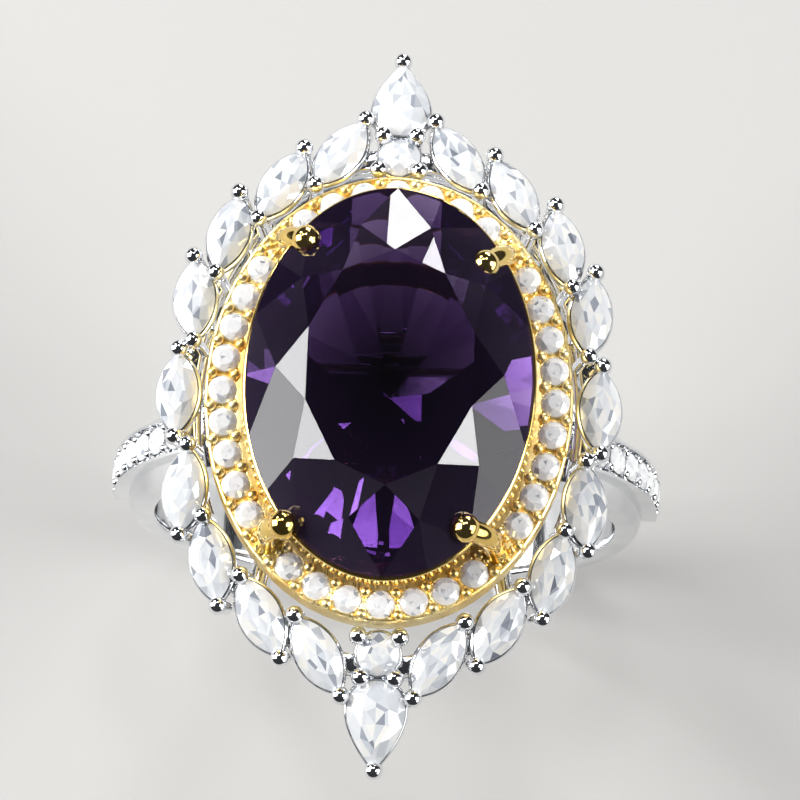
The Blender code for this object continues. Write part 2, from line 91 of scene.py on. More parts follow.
def linear(colour: str) -> tuple[float, float, float, float]:
    """Turns an sRGB hex colour into linear RGBA.

    Args:
        colour: Six hex digits after a #.

    Returns:
        Red, green and blue as linear light, and an alpha of 1.
    """
    channels = [int(colour[i : i + 2], 16) / 255 for i in (1, 3, 5)]
    r, g, b = (c / 12.92 if c <= 0.04045 else ((c + 0.055) / 1.055) ** 2.4 for c in channels)
    return (r, g, b, 1.0)


def per_metre(size_mm: float) -> float:
    """The texture scale at which one feature of a pattern measures size_mm."""
    return 1 / (size_mm * MM)


def add_node(
    tree: bpy.types.NodeTree, kind: str, settings: dict | None = None, links: dict | None = None
) -> bpy.types.Node:
    """Adds a node with its settings and links.

    Args:
        tree: The node tree that takes it.
        kind: The node's Blender type name.
        settings: Attribute names, or socket names in the form "in:Name", and their values.
        links: Input socket names and the output sockets that feed them.

    Returns:
        The new node.
    """
    node = tree.nodes.new(kind)
    for key, value in (settings or {}).items():
        if key.startswith("in:"):
            node.inputs[key[3:]].default_value = value
        else:
            setattr(node, key, value)
    for name, source in (links or {}).items():
        tree.links.new(source, node.inputs[name])
    return node


def new_material(name: str) -> tuple[bpy.types.Material, bpy.types.NodeTree, bpy.types.Node]:
    """Makes an empty node material with its output.

    Args:
        name: The material's name.

    Returns:
        The material, its node tree and its output node.
    """
    material = bpy.data.materials.new(name)
    material.use_nodes = True
    tree = material.node_tree
    tree.nodes.clear()
    return material, tree, add_node(tree, "ShaderNodeOutputMaterial")


@dataclass(frozen=True)
class PolishedMetal:
    """Cast precious metal, plated and buffed by hand.

    The buff leaves a mirror with a faint swell where the casting was ground, and hairlines that
    spread the highlights a little.
    """

    name: str
    slot: Slot
    colour: str
    shade: str
    roughness: float = 0.09
    swell_mm: float = 1.1
    swell_depth_mm: float = 0.004
    hairline_mm: float = 0.09
    hairline_depth_mm: float = 0.0006
    tone_mm: float = 2.6
    # Where the noise turns from the shade to the colour, and the part of it that sets the gloss
    tone_range: tuple[float, float] = (0.3, 0.62)
    gloss_range: tuple[float, float] = (0.3, 0.75)
    # The least and most roughness, as shares of the usual one
    gloss_share: tuple[float, float] = (0.7, 1.6)
    # How far y counts in the hairlines' pattern: less than 1 draws them out along the finger
    hairline_stretch: float = 0.12
    bump_strength: float = 0.5

    def build(self) -> bpy.types.Material:
        """Makes the node material.

        Returns:
            The material.
        """
        material, tree, output = new_material(self.name)
        place = add_node(tree, "ShaderNodeTexCoord").outputs["Object"]
        tone = add_node(
            tree,
            "ShaderNodeTexNoise",
            {"in:Scale": per_metre(self.tone_mm), "in:Detail": 3.0},
            {"Vector": place},
        )
        colour = add_node(tree, "ShaderNodeValToRGB", links={"Fac": tone.outputs["Fac"]})
        stops = zip(colour.color_ramp.elements, self.tone_range, (self.shade, self.colour))
        for element, position, hue in stops:
            element.position = position
            element.color = linear(hue)
        stretch = add_node(
            tree,
            "ShaderNodeMapping",
            {"in:Scale": (1.0, self.hairline_stretch, 1.0)},
            {"Vector": place},
        )
        hairline = add_node(
            tree,
            "ShaderNodeTexNoise",
            {"in:Scale": per_metre(self.hairline_mm), "in:Detail": 2.0},
            {"Vector": stretch.outputs["Vector"]},
        )
        gloss = add_node(
            tree,
            "ShaderNodeMapRange",
            {
                "in:From Min": self.gloss_range[0],
                "in:From Max": self.gloss_range[1],
                "in:To Min": self.roughness * self.gloss_share[0],
                "in:To Max": self.roughness * self.gloss_share[1],
            },
            {"Value": hairline.outputs["Fac"]},
        )
        swell = add_node(
            tree,
            "ShaderNodeTexNoise",
            {"in:Scale": per_metre(self.swell_mm), "in:Detail": 1.0},
            {"Vector": place},
        )
        ground = add_node(
            tree,
            "ShaderNodeBump",
            {"in:Strength": self.bump_strength, "in:Distance": self.swell_depth_mm * MM},
            {"Height": swell.outputs["Fac"]},
        )
        buffed = add_node(
            tree,
            "ShaderNodeBump",
            {"in:Strength": self.bump_strength, "in:Distance": self.hairline_depth_mm * MM},
            {"Height": hairline.outputs["Fac"], "Normal": ground.outputs["Normal"]},
        )
        shader = add_node(
            tree,
            "ShaderNodeBsdfPrincipled",
            {"in:Metallic": 1.0},
            {
                "Base Color": colour.outputs["Color"],
                "Roughness": gloss.outputs["Result"],
                "Normal": buffed.outputs["Normal"],
            },
        )
        tree.links.new(shader.outputs["BSDF"], output.inputs["Surface"])
        return material


# The mesh attribute that holds each facet's painted light: how much light it is painted as sending back,
# from 0 to 1
PAINTED_RETURN_ATTRIBUTE = "painted_facet_return"


@dataclass(frozen=True)
class CutStone:
    """A faceted and polished transparent stone.

    The body colour deepens with the length of the light's way through the stone. Growth zones shift
    the tint from place to place. Each facet's share of returned light is painted light: the mesh's
    facet attribute holds it, and it is painted into the facet's colour. zone_share is how far the
    zones count against the painted facet returns. A stone given the half widths of a painted shade
    darkens evenly from there to its shade tint at its middle, where the back facets send hardly any
    light up.
    """

    name: str
    slot: Slot
    tints: tuple[tuple[float, str], ...]
    ior: float
    zone_mm: float
    transmission: float = 1.0
    roughness: float = 0.0
    absorption: tuple[float, float, float] | None = None
    density_per_mm: float = 0.0
    zone_share: float = 1.0
    # The half widths and the tint of a painted shade that darkens the stone towards its middle
    painted_shade_mm: tuple[float, float] | None = None
    painted_shade_tint: str = "#000000"

    def build(self) -> bpy.types.Material:
        """Makes the node material.

        Returns:
            The material.
        """
        material, tree, output = new_material(self.name)
        place = add_node(tree, "ShaderNodeTexCoord").outputs["Object"]
        zones = add_node(
            tree,
            "ShaderNodeTexNoise",
            {"in:Scale": per_metre(self.zone_mm), "in:Detail": 2.0},
            {"Vector": place},
        )
        # Painted light: each facet's share of returned light, painted into the colour below
        flash = add_node(tree, "ShaderNodeAttribute", {"attribute_name": PAINTED_RETURN_ATTRIBUTE})
        level = add_node(
            tree,
            "ShaderNodeMix",
            {"data_type": "FLOAT", "in:Factor": self.zone_share},
            {"A": flash.outputs["Fac"], "B": zones.outputs["Fac"]},
        )
        tint = add_node(tree, "ShaderNodeValToRGB", links={"Fac": level.outputs["Result"]})
        ramp = tint.color_ramp
        while len(ramp.elements) < len(self.tints):
            ramp.elements.new(1.0)
        for element, (position, colour) in zip(ramp.elements, self.tints):
            element.position = position
            element.color = linear(colour)
        colour = tint.outputs["Color"]
        # Painted shade: the colour darkens evenly towards the middle of the table, where the back facets
        # send hardly any light up
        if self.painted_shade_mm:
            across, along = (per_metre(half) for half in self.painted_shade_mm)
            centred = add_node(
                tree, "ShaderNodeMapping", {"in:Scale": (across, along, 0.0)}, {"Vector": place}
            )
            centre_falloff = add_node(
                tree,
                "ShaderNodeTexGradient",
                {"gradient_type": "SPHERICAL"},
                {"Vector": centred.outputs["Vector"]},
            )
            shaded = add_node(
                tree,
                "ShaderNodeMixRGB",
                {"in:Color2": linear(self.painted_shade_tint)},
                {"Fac": centre_falloff.outputs["Fac"], "Color1": colour},
            )
            colour = shaded.outputs["Color"]
        shader = add_node(
            tree,
            "ShaderNodeBsdfPrincipled",
            {
                "in:IOR": self.ior,
                "in:Roughness": self.roughness,
                "in:Transmission Weight": self.transmission,
            },
            {"Base Color": colour},
        )
        tree.links.new(shader.outputs["BSDF"], output.inputs["Surface"])
        if self.absorption:
            body = add_node(
                tree,
                "ShaderNodeVolumeAbsorption",
                {"in:Color": (*self.absorption, 1.0), "in:Density": self.density_per_mm / MM},
            )
            tree.links.new(body.outputs["Volume"], output.inputs["Volume"])
        return material


@dataclass(frozen=True)
class MattePaper:
    """Heavy uncoated studio paper: no gloss, and a fine felt grain."""

    name: str = "uncoated_studio_paper"
    colour: str = "#ABAAA8"
    grain_mm: float = 0.5
    grain_depth_mm: float = 0.02
    grain_strength: float = 0.3
    roughness: float = 0.85

    def build(self) -> bpy.types.Material:
        """Makes the node material.

        Returns:
            The material.
        """
        material, tree, output = new_material(self.name)
        place = add_node(tree, "ShaderNodeTexCoord").outputs["Object"]
        grain = add_node(
            tree,
            "ShaderNodeTexNoise",
            {"in:Scale": per_metre(self.grain_mm), "in:Detail": 3.0},
            {"Vector": place},
        )
        felt = add_node(
            tree,
            "ShaderNodeBump",
            {"in:Strength": self.grain_strength, "in:Distance": self.grain_depth_mm * MM},
            {"Height": grain.outputs["Fac"]},
        )
        shader = add_node(
            tree,
            "ShaderNodeBsdfPrincipled",
            {"in:Base Color": linear(self.colour), "in:Roughness": self.roughness},
            {"Normal": felt.outputs["Normal"]},
        )
        tree.links.new(shader.outputs["BSDF"], output.inputs["Surface"])
        return material


# Sterling silver under rhodium: a white, slightly cold mirror
RHODIUM = PolishedMetal("rhodium_plated_silver", Slot.SILVER, "#F0F1F3", "#DFE1E4")
# Sterling silver under a thin 18-carat flash: a light yellow mirror with warmer thin places
GOLD_FLASH = PolishedMetal("polished_gold_plate", Slot.GOLD, "#F3D687", "#E2B95C", roughness=0.1)
# The same plate where the graver has cut it: a bright satin that catches light from every side. Its
# colour is painted paler than the polished plate's, as painted light where it mirrors the dim room
GOLD_CUT_PAINTED_PALE = PolishedMetal(
    "cut_gold_plate_painted_pale",
    Slot.GOLD,
    "#FFEDB4",
    "#FFD673",
    roughness=0.34,
    swell_mm=0.3,
    swell_depth_mm=0.02,
    hairline_mm=0.05,
)
# Amethyst: quartz that iron turns violet, paler where the light's way through it is short. Its tints
# mix growth zones with the facets' painted light, and its dark middle is painted shade for the
# middle of the table, where the back facets send hardly any light up
AMETHYST = CutStone(
    "amethyst",
    Slot.AMETHYST,
    tints=((0.1, "#4F3568"), (0.45, "#6C508C"), (0.7, "#A891C4"), (1.0, "#DDD1EC")),
    ior=1.55,
    zone_mm=4.0,
    transmission=0.96,
    absorption=(0.44, 0.33, 0.52),
    density_per_mm=0.34,
    zone_share=0.4,
    painted_shade_mm=(5.2, 7.4),
    painted_shade_tint="#0E0712",
)
# Cubic zirconia: a colourless stone with far more fire and lustre than glass. Its greys and whites
# are painted light: each facet's tint is the share of light that it is painted as sending back
ZIRCONIA = CutStone(
    "cubic_zirconia",
    Slot.CLEAR_STONE,
    tints=(
        (0.0, "#5A5F6A"),
        (0.22, "#9FA5B0"),
        (0.45, "#DADEE4"),
        (0.8, "#F0F2F4"),
        (1.0, "#FFFAF0"),
    ),
    ior=2.16,
    zone_mm=0.5,
    transmission=0.3,
    zone_share=0.12,
)
# The same stone a millimetre across: so small that most of its light comes straight back, so its
# painted light is paler
SMALL_ZIRCONIA = replace(
    ZIRCONIA,
    name="small_cubic_zirconia",
    tints=((0.0, "#757A85"), (0.2, "#B8BDC6"), (0.38, "#F0F2F4"), (1.0, "#FFFFFF")),
    transmission=0.2,
)


# ---------------------------------------------------------------- shapes


def unit(vectors: Array) -> Array:
    """The vectors scaled to length 1 along their last axis."""
    return vectors / np.linalg.norm(vectors, axis=-1, keepdims=True)


@dataclass(frozen=True)
class Place:
    """Where a piece sits: its middle and its side, along and up directions, as rows."""

    middle: Array
    axes: Array

    @staticmethod
    def facing(middle: Sequence[float], up: Sequence[float], along: Sequence[float]) -> "Place":
        """A place that looks along up, with its long axis as near along as that allows.

        Args:
            middle: The piece's middle, in millimetres.
            up: The direction that its top faces.
            along: The direction that its long axis should take.

        Returns:
            The place.
        """
        up_way = unit(np.array(up, float))
        side = unit(np.cross(np.array(along, float), up_way))
        return Place(np.array(middle, float), np.stack([side, np.cross(up_way, side), up_way]))

    def put(self, points: Array) -> Array:
        """Points of the piece's own frame, moved to the ring's frame."""
        return points @ self.axes + self.middle


@dataclass
class Surface:
    """Points (N, 3) in millimetres, faces as rows of point numbers, and each face's facet if any."""

    points: Array
    faces: Array
    facets: Array | None = None

    @staticmethod
    def from_grid(grid: Array, close_u: bool = False, close_v: bool = False) -> "Surface":
        """The quads of a grid of points, each row along v.

        Args:
            grid: Points of shape (U, V, 3).
            close_u: Whether the last row joins the first.
            close_v: Whether each row's end joins its start.

        Returns:
            The surface.
        """
        rows, columns = grid.shape[:2]
        u = np.arange(rows if close_u else rows - 1)[:, None]
        v = np.arange(columns if close_v else columns - 1)[None]
        next_u, next_v = (u + 1) % rows, (v + 1) % columns
        corners = (
            u * columns + v,
            next_u * columns + v,
            next_u * columns + next_v,
            u * columns + next_v,
        )
        return Surface(grid.reshape(-1, 3), np.stack(corners, axis=-1).reshape(-1, 4))

    def repeated(self, places: Sequence[Place]) -> "Surface":
        """One copy at each place, as a single surface.

        Args:
            places: Where the copies go.

        Returns:
            The surface of all the copies.
        """
        count = len(self.points)
        points = np.concatenate([place.put(self.points) for place in places])
        faces = np.concatenate([self.faces + count * i for i in range(len(places))])
        return Surface(points, faces)


def joined(surfaces: Sequence[Surface]) -> Surface:
    """Several surfaces as one.

    Args:
        surfaces: The surfaces, which all have faces with the same number of corners.

    Returns:
        The surface of them all.
    """
    starts = np.cumsum([0] + [len(s.points) for s in surfaces[:-1]])
    points = np.concatenate([s.points for s in surfaces])
    return Surface(points, np.concatenate([s.faces + n for s, n in zip(surfaces, starts)]))


def turned(profile: Array, sides: int) -> Surface:
    """A profile turned round the up axis: (r cos t, r sin t, h).

    Args:
        profile: Rows of radius and height.
        sides: Points round the axis.

    Returns:
        The surface.
    """
    turn = np.arange(sides) * FULL_TURN / sides
    ring = np.stack([np.cos(turn), np.sin(turn), np.zeros(sides)], axis=-1)
    grid = profile[:, 0, None, None] * ring[None]
    grid[..., 2] = profile[:, 1, None]
    return Surface.from_grid(grid, close_v=True)


def tube(line: Array, radii: Array, sides: int, reference: Sequence[float]) -> Surface:
    """A round bar along a line: each ring is line + r (cos t across + sin t other).

    Args:
        line: The middle line, (N, 3).
        radii: The radius at each point, (N,). A radius near 0 closes an end.
        sides: Points round the bar.
        reference: A direction that the line never follows.

    Returns:
        The surface.
    """
    ahead = unit(np.gradient(line, axis=0))
    across = unit(np.cross(ahead, np.array(reference, float)))
    other = np.cross(ahead, across)
    turn = (np.arange(sides) * FULL_TURN / sides)[None, :, None]
    ring = across[:, None] * np.cos(turn) + other[:, None] * np.sin(turn)
    return Surface.from_grid(line[:, None] + radii[:, None, None] * ring, close_v=True)


def smooth_line(points: Sequence[Sequence[float]], steps: int) -> Array:
    """A Catmull-Rom curve through the points.

    Between b and c, with a before and d after them and f running from 0 to 1, it is half of
    2b + (c - a) f + (2a - 5b + 4c - d) f^2 + (3b - a - 3c + d) f^3. Each end is carried on straight.

    Args:
        points: The points that it passes through.
        steps: How many points it returns.

    Returns:
        The curve's points, (steps, 3).
    """
    knots = np.array(points, float)
    before = 2 * knots[:1] - knots[1:2]
    after = 2 * knots[-1:] - knots[-2:-1]
    padded = np.concatenate([before, knots, after])
    t = np.linspace(0, len(knots) - 1, steps)
    i = np.minimum(t.astype(int), len(knots) - 2)
    f = (t - i)[:, None]
    a, b, c, d = padded[i], padded[i + 1], padded[i + 2], padded[i + 3]
    square = (2 * a - 5 * b + 4 * c - d) * f**2
    cube = (3 * b - a - 3 * c + d) * f**3
    return 0.5 * (2 * b + (c - a) * f + square + cube)


def make_piece(
    name: str, surface: Surface, material: bpy.types.Material, smooth_deg: float
) -> bpy.types.Object:
    """Makes a mesh object that rides with the ring.

    Args:
        name: The object's name.
        surface: Its shape in millimetres, in the ring's frame.
        material: Its finish.
        smooth_deg: The angle above which an edge stays sharp; 0 leaves every facet flat.

    Returns:
        The object.
    """
    mesh = bpy.data.meshes.new(name)
    mesh.from_pydata((surface.points * MM).tolist(), [], surface.faces.tolist())
    shell = bmesh.new()
    shell.from_mesh(mesh)
    bmesh.ops.remove_doubles(shell, verts=shell.verts, dist=MERGE_M)
    bmesh.ops.holes_fill(shell, edges=[e for e in shell.edges if e.is_boundary], sides=0)
    bmesh.ops.recalc_face_normals(shell, faces=shell.faces)
    shell.to_mesh(mesh)
    shell.free()
    if smooth_deg:
        mesh.shade_smooth()
        mesh.set_sharp_from_angle(angle=math.radians(smooth_deg))
    mesh.materials.append(material)
    piece = bpy.data.objects.new(name, mesh)
    bpy.context.scene.collection.objects.link(piece)
    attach(piece, BODY)
    LOG.info("%s: %d faces", name, len(mesh.polygons))
    return piece


# ---------------------------------------------------------------- outlines and ellipses


def oval(width: float, length: float) -> Outline:
    """The outline (w/2 cos t, l/2 sin t)."""
    return lambda t: np.stack([width / 2 * np.cos(t), length / 2 * np.sin(t)], axis=-1)


def marquise(width: float, length: float) -> Outline:
    """Two equal arcs that meet in points at +y and -y.

    Each arc has the radius (l^2 + w^2) / 4w, and t runs round the stone from +x.

    Args:
        width: The stone's width w.
        length: Its length l, from point to point.

    Returns:
        The outline.
    """
    radius = (length**2 + width**2) / (4 * width)
    reach = math.asin(length / 2 / radius)

    def outline(t: Array) -> Array:
        """The outline's points.

        Args:
            t: Turns from +x.

        Returns:
            Rows of (x, y).
        """
        half_turns = (np.asarray(t) + math.pi / 2) % FULL_TURN
        right = half_turns < math.pi
        swing = (half_turns % math.pi / math.pi * 2 - 1) * reach
        x = radius * np.cos(swing) - (radius - width / 2)
        y = radius * np.sin(swing)
        sign = np.where(right, 1.0, -1.0)
        return np.stack([sign * x, sign * y], axis=-1)

    return outline


def pear(width: float, length: float) -> Outline:
    """A drop with its point at +y: x = sin s sin(s/2), y = cos s, where s runs from the point.

    Args:
        width: The stone's width, to which x is scaled.
        length: Its length, to which y is scaled.

    Returns:
        The outline.
    """
    # The greatest value of sin s sin(s/2)
    widest = 4 / (3 * math.sqrt(3))

    def outline(t: Array) -> Array:
        """The outline's points.

        Args:
            t: Turns from +x.

        Returns:
            Rows of (x, y).
        """
        s = math.pi / 2 - np.asarray(t)
        x = width / 2 * np.sin(s) * np.abs(np.sin(s / 2)) / widest
        return np.stack([x, length / 2 * np.cos(s)], axis=-1)

    return outline


@dataclass(frozen=True)
class Ellipse:
    """An ellipse in a level plane, with its points spaced evenly along it."""

    half_x: float
    half_y: float
    # Short straight steps along which its length is measured
    measured_steps: int = 2880

    def line(self, steps: int) -> tuple[Array, Array]:
        """Points at equal distances from +x, and the outward normal at each.

        Args:
            steps: How many points.

        Returns:
            Two arrays of shape (steps, 2).
        """
        fine = np.linspace(0, FULL_TURN, self.measured_steps + 1)
        curve = np.stack([self.half_x * np.cos(fine), self.half_y * np.sin(fine)], axis=-1)
        run = np.concatenate([[0], np.cumsum(np.linalg.norm(np.diff(curve, axis=0), axis=1))])
        turn = np.interp(np.arange(steps) / steps * run[-1], run, fine)
        points = np.stack([self.half_x * np.cos(turn), self.half_y * np.sin(turn)], axis=-1)
        outward = np.stack([np.cos(turn) / self.half_x, np.sin(turn) / self.half_y], axis=-1)
        return points, unit(outward)

    def band(self, section: Array, steps: int, level: Callable[[Array, Array], Array]) -> Surface:
        """A band that carries a section of (outward, up) points round the ellipse.

        Args:
            section: The section's points, in order round it.
            steps: Points along the ellipse.
            level: The height that the band follows, from x and y.

        Returns:
            The surface, closed both ways.
        """
        points, normals = self.line(steps)
        flat = points[:, None] + normals[:, None] * section[None, :, 0, None]
        height = level(points[:, 0], points[:, 1])[:, None] + section[None, :, 1]
        grid = np.concatenate([flat, height[..., None]], axis=-1)
        return Surface.from_grid(grid, close_u=True, close_v=True)


def flat_at(height: float) -> Callable[[Array, Array], Array]:
    """A level plane, as a height from x and y."""
    return lambda x, y: np.full_like(x, height)


def soft_box(width: float, top: float, bottom: float, power: float = 6.0, steps: int = 20) -> Array:
    """A rectangle with rounded corners: a superellipse, |x|^p + |z|^p = 1, scaled to its sides.

    Args:
        width: How wide it is.
        top: The height of its top.
        bottom: The height of its bottom.
        power: The power p; 2 is an ellipse, and more is squarer.
        steps: Points round it.

    Returns:
        Rows of (outward, up).
    """
    t = np.arange(steps) * FULL_TURN / steps
    x = np.sign(np.cos(t)) * np.abs(np.cos(t)) ** (2 / power) * width / 2
    z = np.sign(np.sin(t)) * np.abs(np.sin(t)) ** (2 / power) * (top - bottom) / 2
    return np.stack([x, z + (top + bottom) / 2], axis=-1)


# ---------------------------------------------------------------- stones

# Decimals to which two turns, or two facets' heights, count as the same
TURN_DECIMALS = 9
HEIGHT_DECIMALS = 4


@dataclass(frozen=True)
class BrilliantCut:
    """The proportions of a brilliant cut, as shares of the half width unless they are lengths.

    Kite facets run from the table's corners to the girdle, star facets fill in round the table, and
    pairs of girdle facets lie between them; the back repeats this down to the point. A facet keeps
    one plane out to the curved girdle, so the girdle's edge is scalloped.
    """

    mains: int
    table: float
    crown: float
    girdle: float
    pavilion: float
    star: float = 0.5
    lower: float = 0.3
    arc_points: int = 3
    flat_deg: float = 2.0
    # The inset, as a share of the table's width, that splits the table into pieces for painted light; 0
    # leaves it whole
    window: float = 0.16

    def corner_points(self, outline: Outline) -> Array:
        """Every corner of the cut stone, with its girdle at height 0.

        Args:
            outline: The stone's outline as a function of the turn from +x.

        Returns:
            Points of shape (N, 3).
        """
        half_step = math.pi / self.mains
        at_mains = math.pi / 2 + np.arange(self.mains) * 2 * half_step
        between = at_mains + half_step
        lean = math.cos(half_step)
        star_reach = self.table * lean + self.star * (1 - self.table * lean)
        star_height = self.crown * (1 - star_reach * lean) / (1 - self.table)
        lower_depth = self.pavilion * (1 - self.lower * lean)
        arc = np.arange(self.arc_points) / self.arc_points * half_step
        starts = at_mains[:, None]
        turns = np.concatenate([starts + arc, starts + 2 * half_step - arc[1:]], axis=1)
        turns = np.unique(np.round(np.concatenate([turns.ravel(), between]), TURN_DECIMALS))
        # How far the curved girdle stands out past the straight line between two facet corners
        within = (turns - math.pi / 2) % half_step - half_step / 2
        beyond = np.cos(within) / math.cos(half_step / 2) - 1
        top = -beyond * star_height / (1 - star_reach)
        bottom = beyond * lower_depth / (1 - self.lower)
        rings = (
            (at_mains, self.table, self.girdle / 2 + self.crown),
            (between, star_reach, self.girdle / 2 + star_height),
            (turns, 1.0, self.girdle / 2 + top),
            (turns, 1.0, -self.girdle / 2 + bottom),
            (between, self.lower, -self.girdle / 2 - lower_depth),
        )
        points = [
            np.concatenate([outline(t) * reach, np.broadcast_to(z, t.shape)[:, None]], axis=1)
            for t, reach, z in rings
        ]
        return np.concatenate(points + [np.array([[0, 0, -self.girdle / 2 - self.pavilion]])])

    def surface(self, outline: Outline) -> Surface:
        """The stone as the convex skin of its corners.

        Its table is divided as the back facets divide it when seen through the stone: an inner star
        of triangles inside a ring, so that each piece takes its own painted light.

        Args:
            outline: The stone's outline as a function of the turn from +x.

        Returns:
            Triangles with their facets' numbers.
        """
        shell = bmesh.new()
        for point in self.corner_points(outline):
            shell.verts.new(point)
        hull = bmesh.ops.convex_hull(shell, input=shell.verts)
        left_over = hull["geom_unused"] + hull["geom_interior"]
        unused = {v for v in left_over if isinstance(v, bmesh.types.BMVert)}
        bmesh.ops.delete(shell, geom=list(unused), context="VERTS")
        flat = math.radians(self.flat_deg)
        bmesh.ops.dissolve_limit(shell, angle_limit=flat, verts=shell.verts, edges=shell.edges)
        if self.window:
            table = max(shell.faces, key=lambda f: f.calc_center_median().z)
            inset = self.window * min(np.ptp([v.co[:2] for v in table.verts], axis=0))
            bmesh.ops.inset_individual(shell, faces=[table], thickness=inset)
            heights = {f: round(f.calc_center_median().z, HEIGHT_DECIMALS) for f in shell.faces}
            table = max(shell.faces, key=lambda f: (heights[f], len(f.verts)))
            bmesh.ops.poke(shell, faces=[table])
        number = shell.faces.layers.int.new("facet")
        for index, face in enumerate(shell.faces):
            face[number] = index
        bmesh.ops.triangulate(shell, faces=shell.faces)
        shell.verts.index_update()
        points = np.array([v.co[:] for v in shell.verts])
        faces = np.array([[v.index for v in f.verts] for f in shell.faces])
        facets = np.array([f[number] for f in shell.faces])
        shell.free()
        return Surface(points, faces, facets)


# The most that a small stone leans in its seat
SET_TILT_DEG = 1.6
# The spread of the facets' painted light: most facets are painted as sending back much of their light
PAINTED_RETURN_SPREAD = (1.8, 0.9)
# Seeded, so that every run sets the stones and paints their facets' light alike
_hand = np.random.default_rng(7)


def hand_set(most_deg: float) -> Array:
    """A small turn about a level axis, as no hand sets two stones quite alike.

    Args:
        most_deg: The most that it turns.

    Returns:
        A 3 x 3 rotation.
    """
    heading = _hand.uniform(0, FULL_TURN)
    lean = math.radians(_hand.uniform(-most_deg, most_deg))
    axis = Vector((math.cos(heading), math.sin(heading), 0))
    return np.array(Matrix.Rotation(lean, 3, axis))


def add_stone(
    name: str, surface: Surface, place: Place, finish: CutStone, replaces: str = ""
) -> None:
    """Sets one stone, in place of its plain solid where it has one.

    Args:
        name: The stone's name.
        surface: Its shape in its own frame, with facet numbers.
        place: Where it is set.
        finish: What it is cut from.
        replaces: The solid that it stands for.
    """
    points = surface.points if finish is AMETHYST else surface.points @ hand_set(SET_TILT_DEG)
    cut = Surface(place.put(points), surface.faces)
    stone = make_piece(name, cut, material_of(finish), smooth_deg=0)
    # Painted light: each facet is given a random share of light that it is painted as sending back
    returns = _hand.beta(*PAINTED_RETURN_SPREAD, surface.facets.max() + 1)[surface.facets]
    attribute = stone.data.attributes.new(PAINTED_RETURN_ATTRIBUTE, "FLOAT", "FACE")
    attribute.data.foreach_set("value", returns.astype(np.float32))
    if replaces:
        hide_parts(replaces)


_materials: dict[str, bpy.types.Material] = {}


def material_of(finish: PolishedMetal | CutStone | MattePaper) -> bpy.types.Material:
    """The material of a finish, built the first time it is asked for.

    Args:
        finish: The finish.

    Returns:
        Its material.
    """
    if finish.name not in _materials:
        _materials[finish.name] = finish.build()
    return _materials[finish.name]


# ---------------------------------------------------------------- the head


@dataclass(frozen=True)
class HeadLayout:
    """Where things sit on the head: the dome of the silver halo and the level of the gold one."""

    dome_height: float = 13.12
    dome_radius_x: float = 30.0
    dome_radius_y: float = 46.0
    pave_line: Ellipse = Ellipse(5.85, 7.5)
    pave_stations: int = 36
    claw_station: int = 5
    pave_height: float = 12.9
    girdle_height: float = 14.9

    def level(self, x: Array, y: Array) -> Array:
        """The dome: z = top - x^2 / 2Rx - y^2 / 2Ry."""
        return self.dome_height - x * x / (2 * self.dome_radius_x) - y * y / (2 * self.dome_radius_y)

    def on_dome(self, x: float, y: float, slant: float = 0.0) -> Place:
        """A place on the dome, with its long axis slanted from the finger's direction.

        Args:
            x: Its distance across the finger.
            y: Its distance along the finger.
            slant: The slant of its long axis, in radians.

        Returns:
            The place.
        """
        up = (x / self.dome_radius_x, y / self.dome_radius_y, 1)
        outward = math.copysign(1, y) if y else 1
        along = (-math.copysign(1, x) * math.sin(slant), outward * math.cos(slant), 0)
        return Place.facing((x, y, float(self.level(np.float64(x), np.float64(y)))), up, along)

    def claws(self) -> list[int]:
        """The stations of the gold halo that the four claws take.

        Returns:
            Their numbers, in order round the halo.
        """
        half = self.pave_stations // 2
        k = self.claw_station
        return [k, half - k, half + k, self.pave_stations - k]


LAYOUT = HeadLayout()


def quarters(x: float, y: float) -> list[tuple[float, float]]:
    """A point in each of the four quarters, in order round the ring."""
    return [(x, y), (-x, y), (-x, -y), (x, -y)]


@dataclass
class CentreStone:
    """The oval amethyst: ten-fold brilliant, 10 x 14 mm."""

    width: float = 10.0
    length: float = 14.0
    cut: BrilliantCut = BrilliantCut(
        mains=10, table=0.6, crown=1.7, girdle=0.17, pavilion=4.4, lower=0.28, arc_points=5, window=0.0
    )

    def build(self) -> None:
        """Cuts and sets the stone."""
        place = Place.facing((0, 0, LAYOUT.girdle_height), (0, 0, 1), (0, 1, 0))
        surface = self.cut.surface(oval(self.width, self.length))
        add_stone("centre_amethyst", surface, place, AMETHYST, "centre_stone")


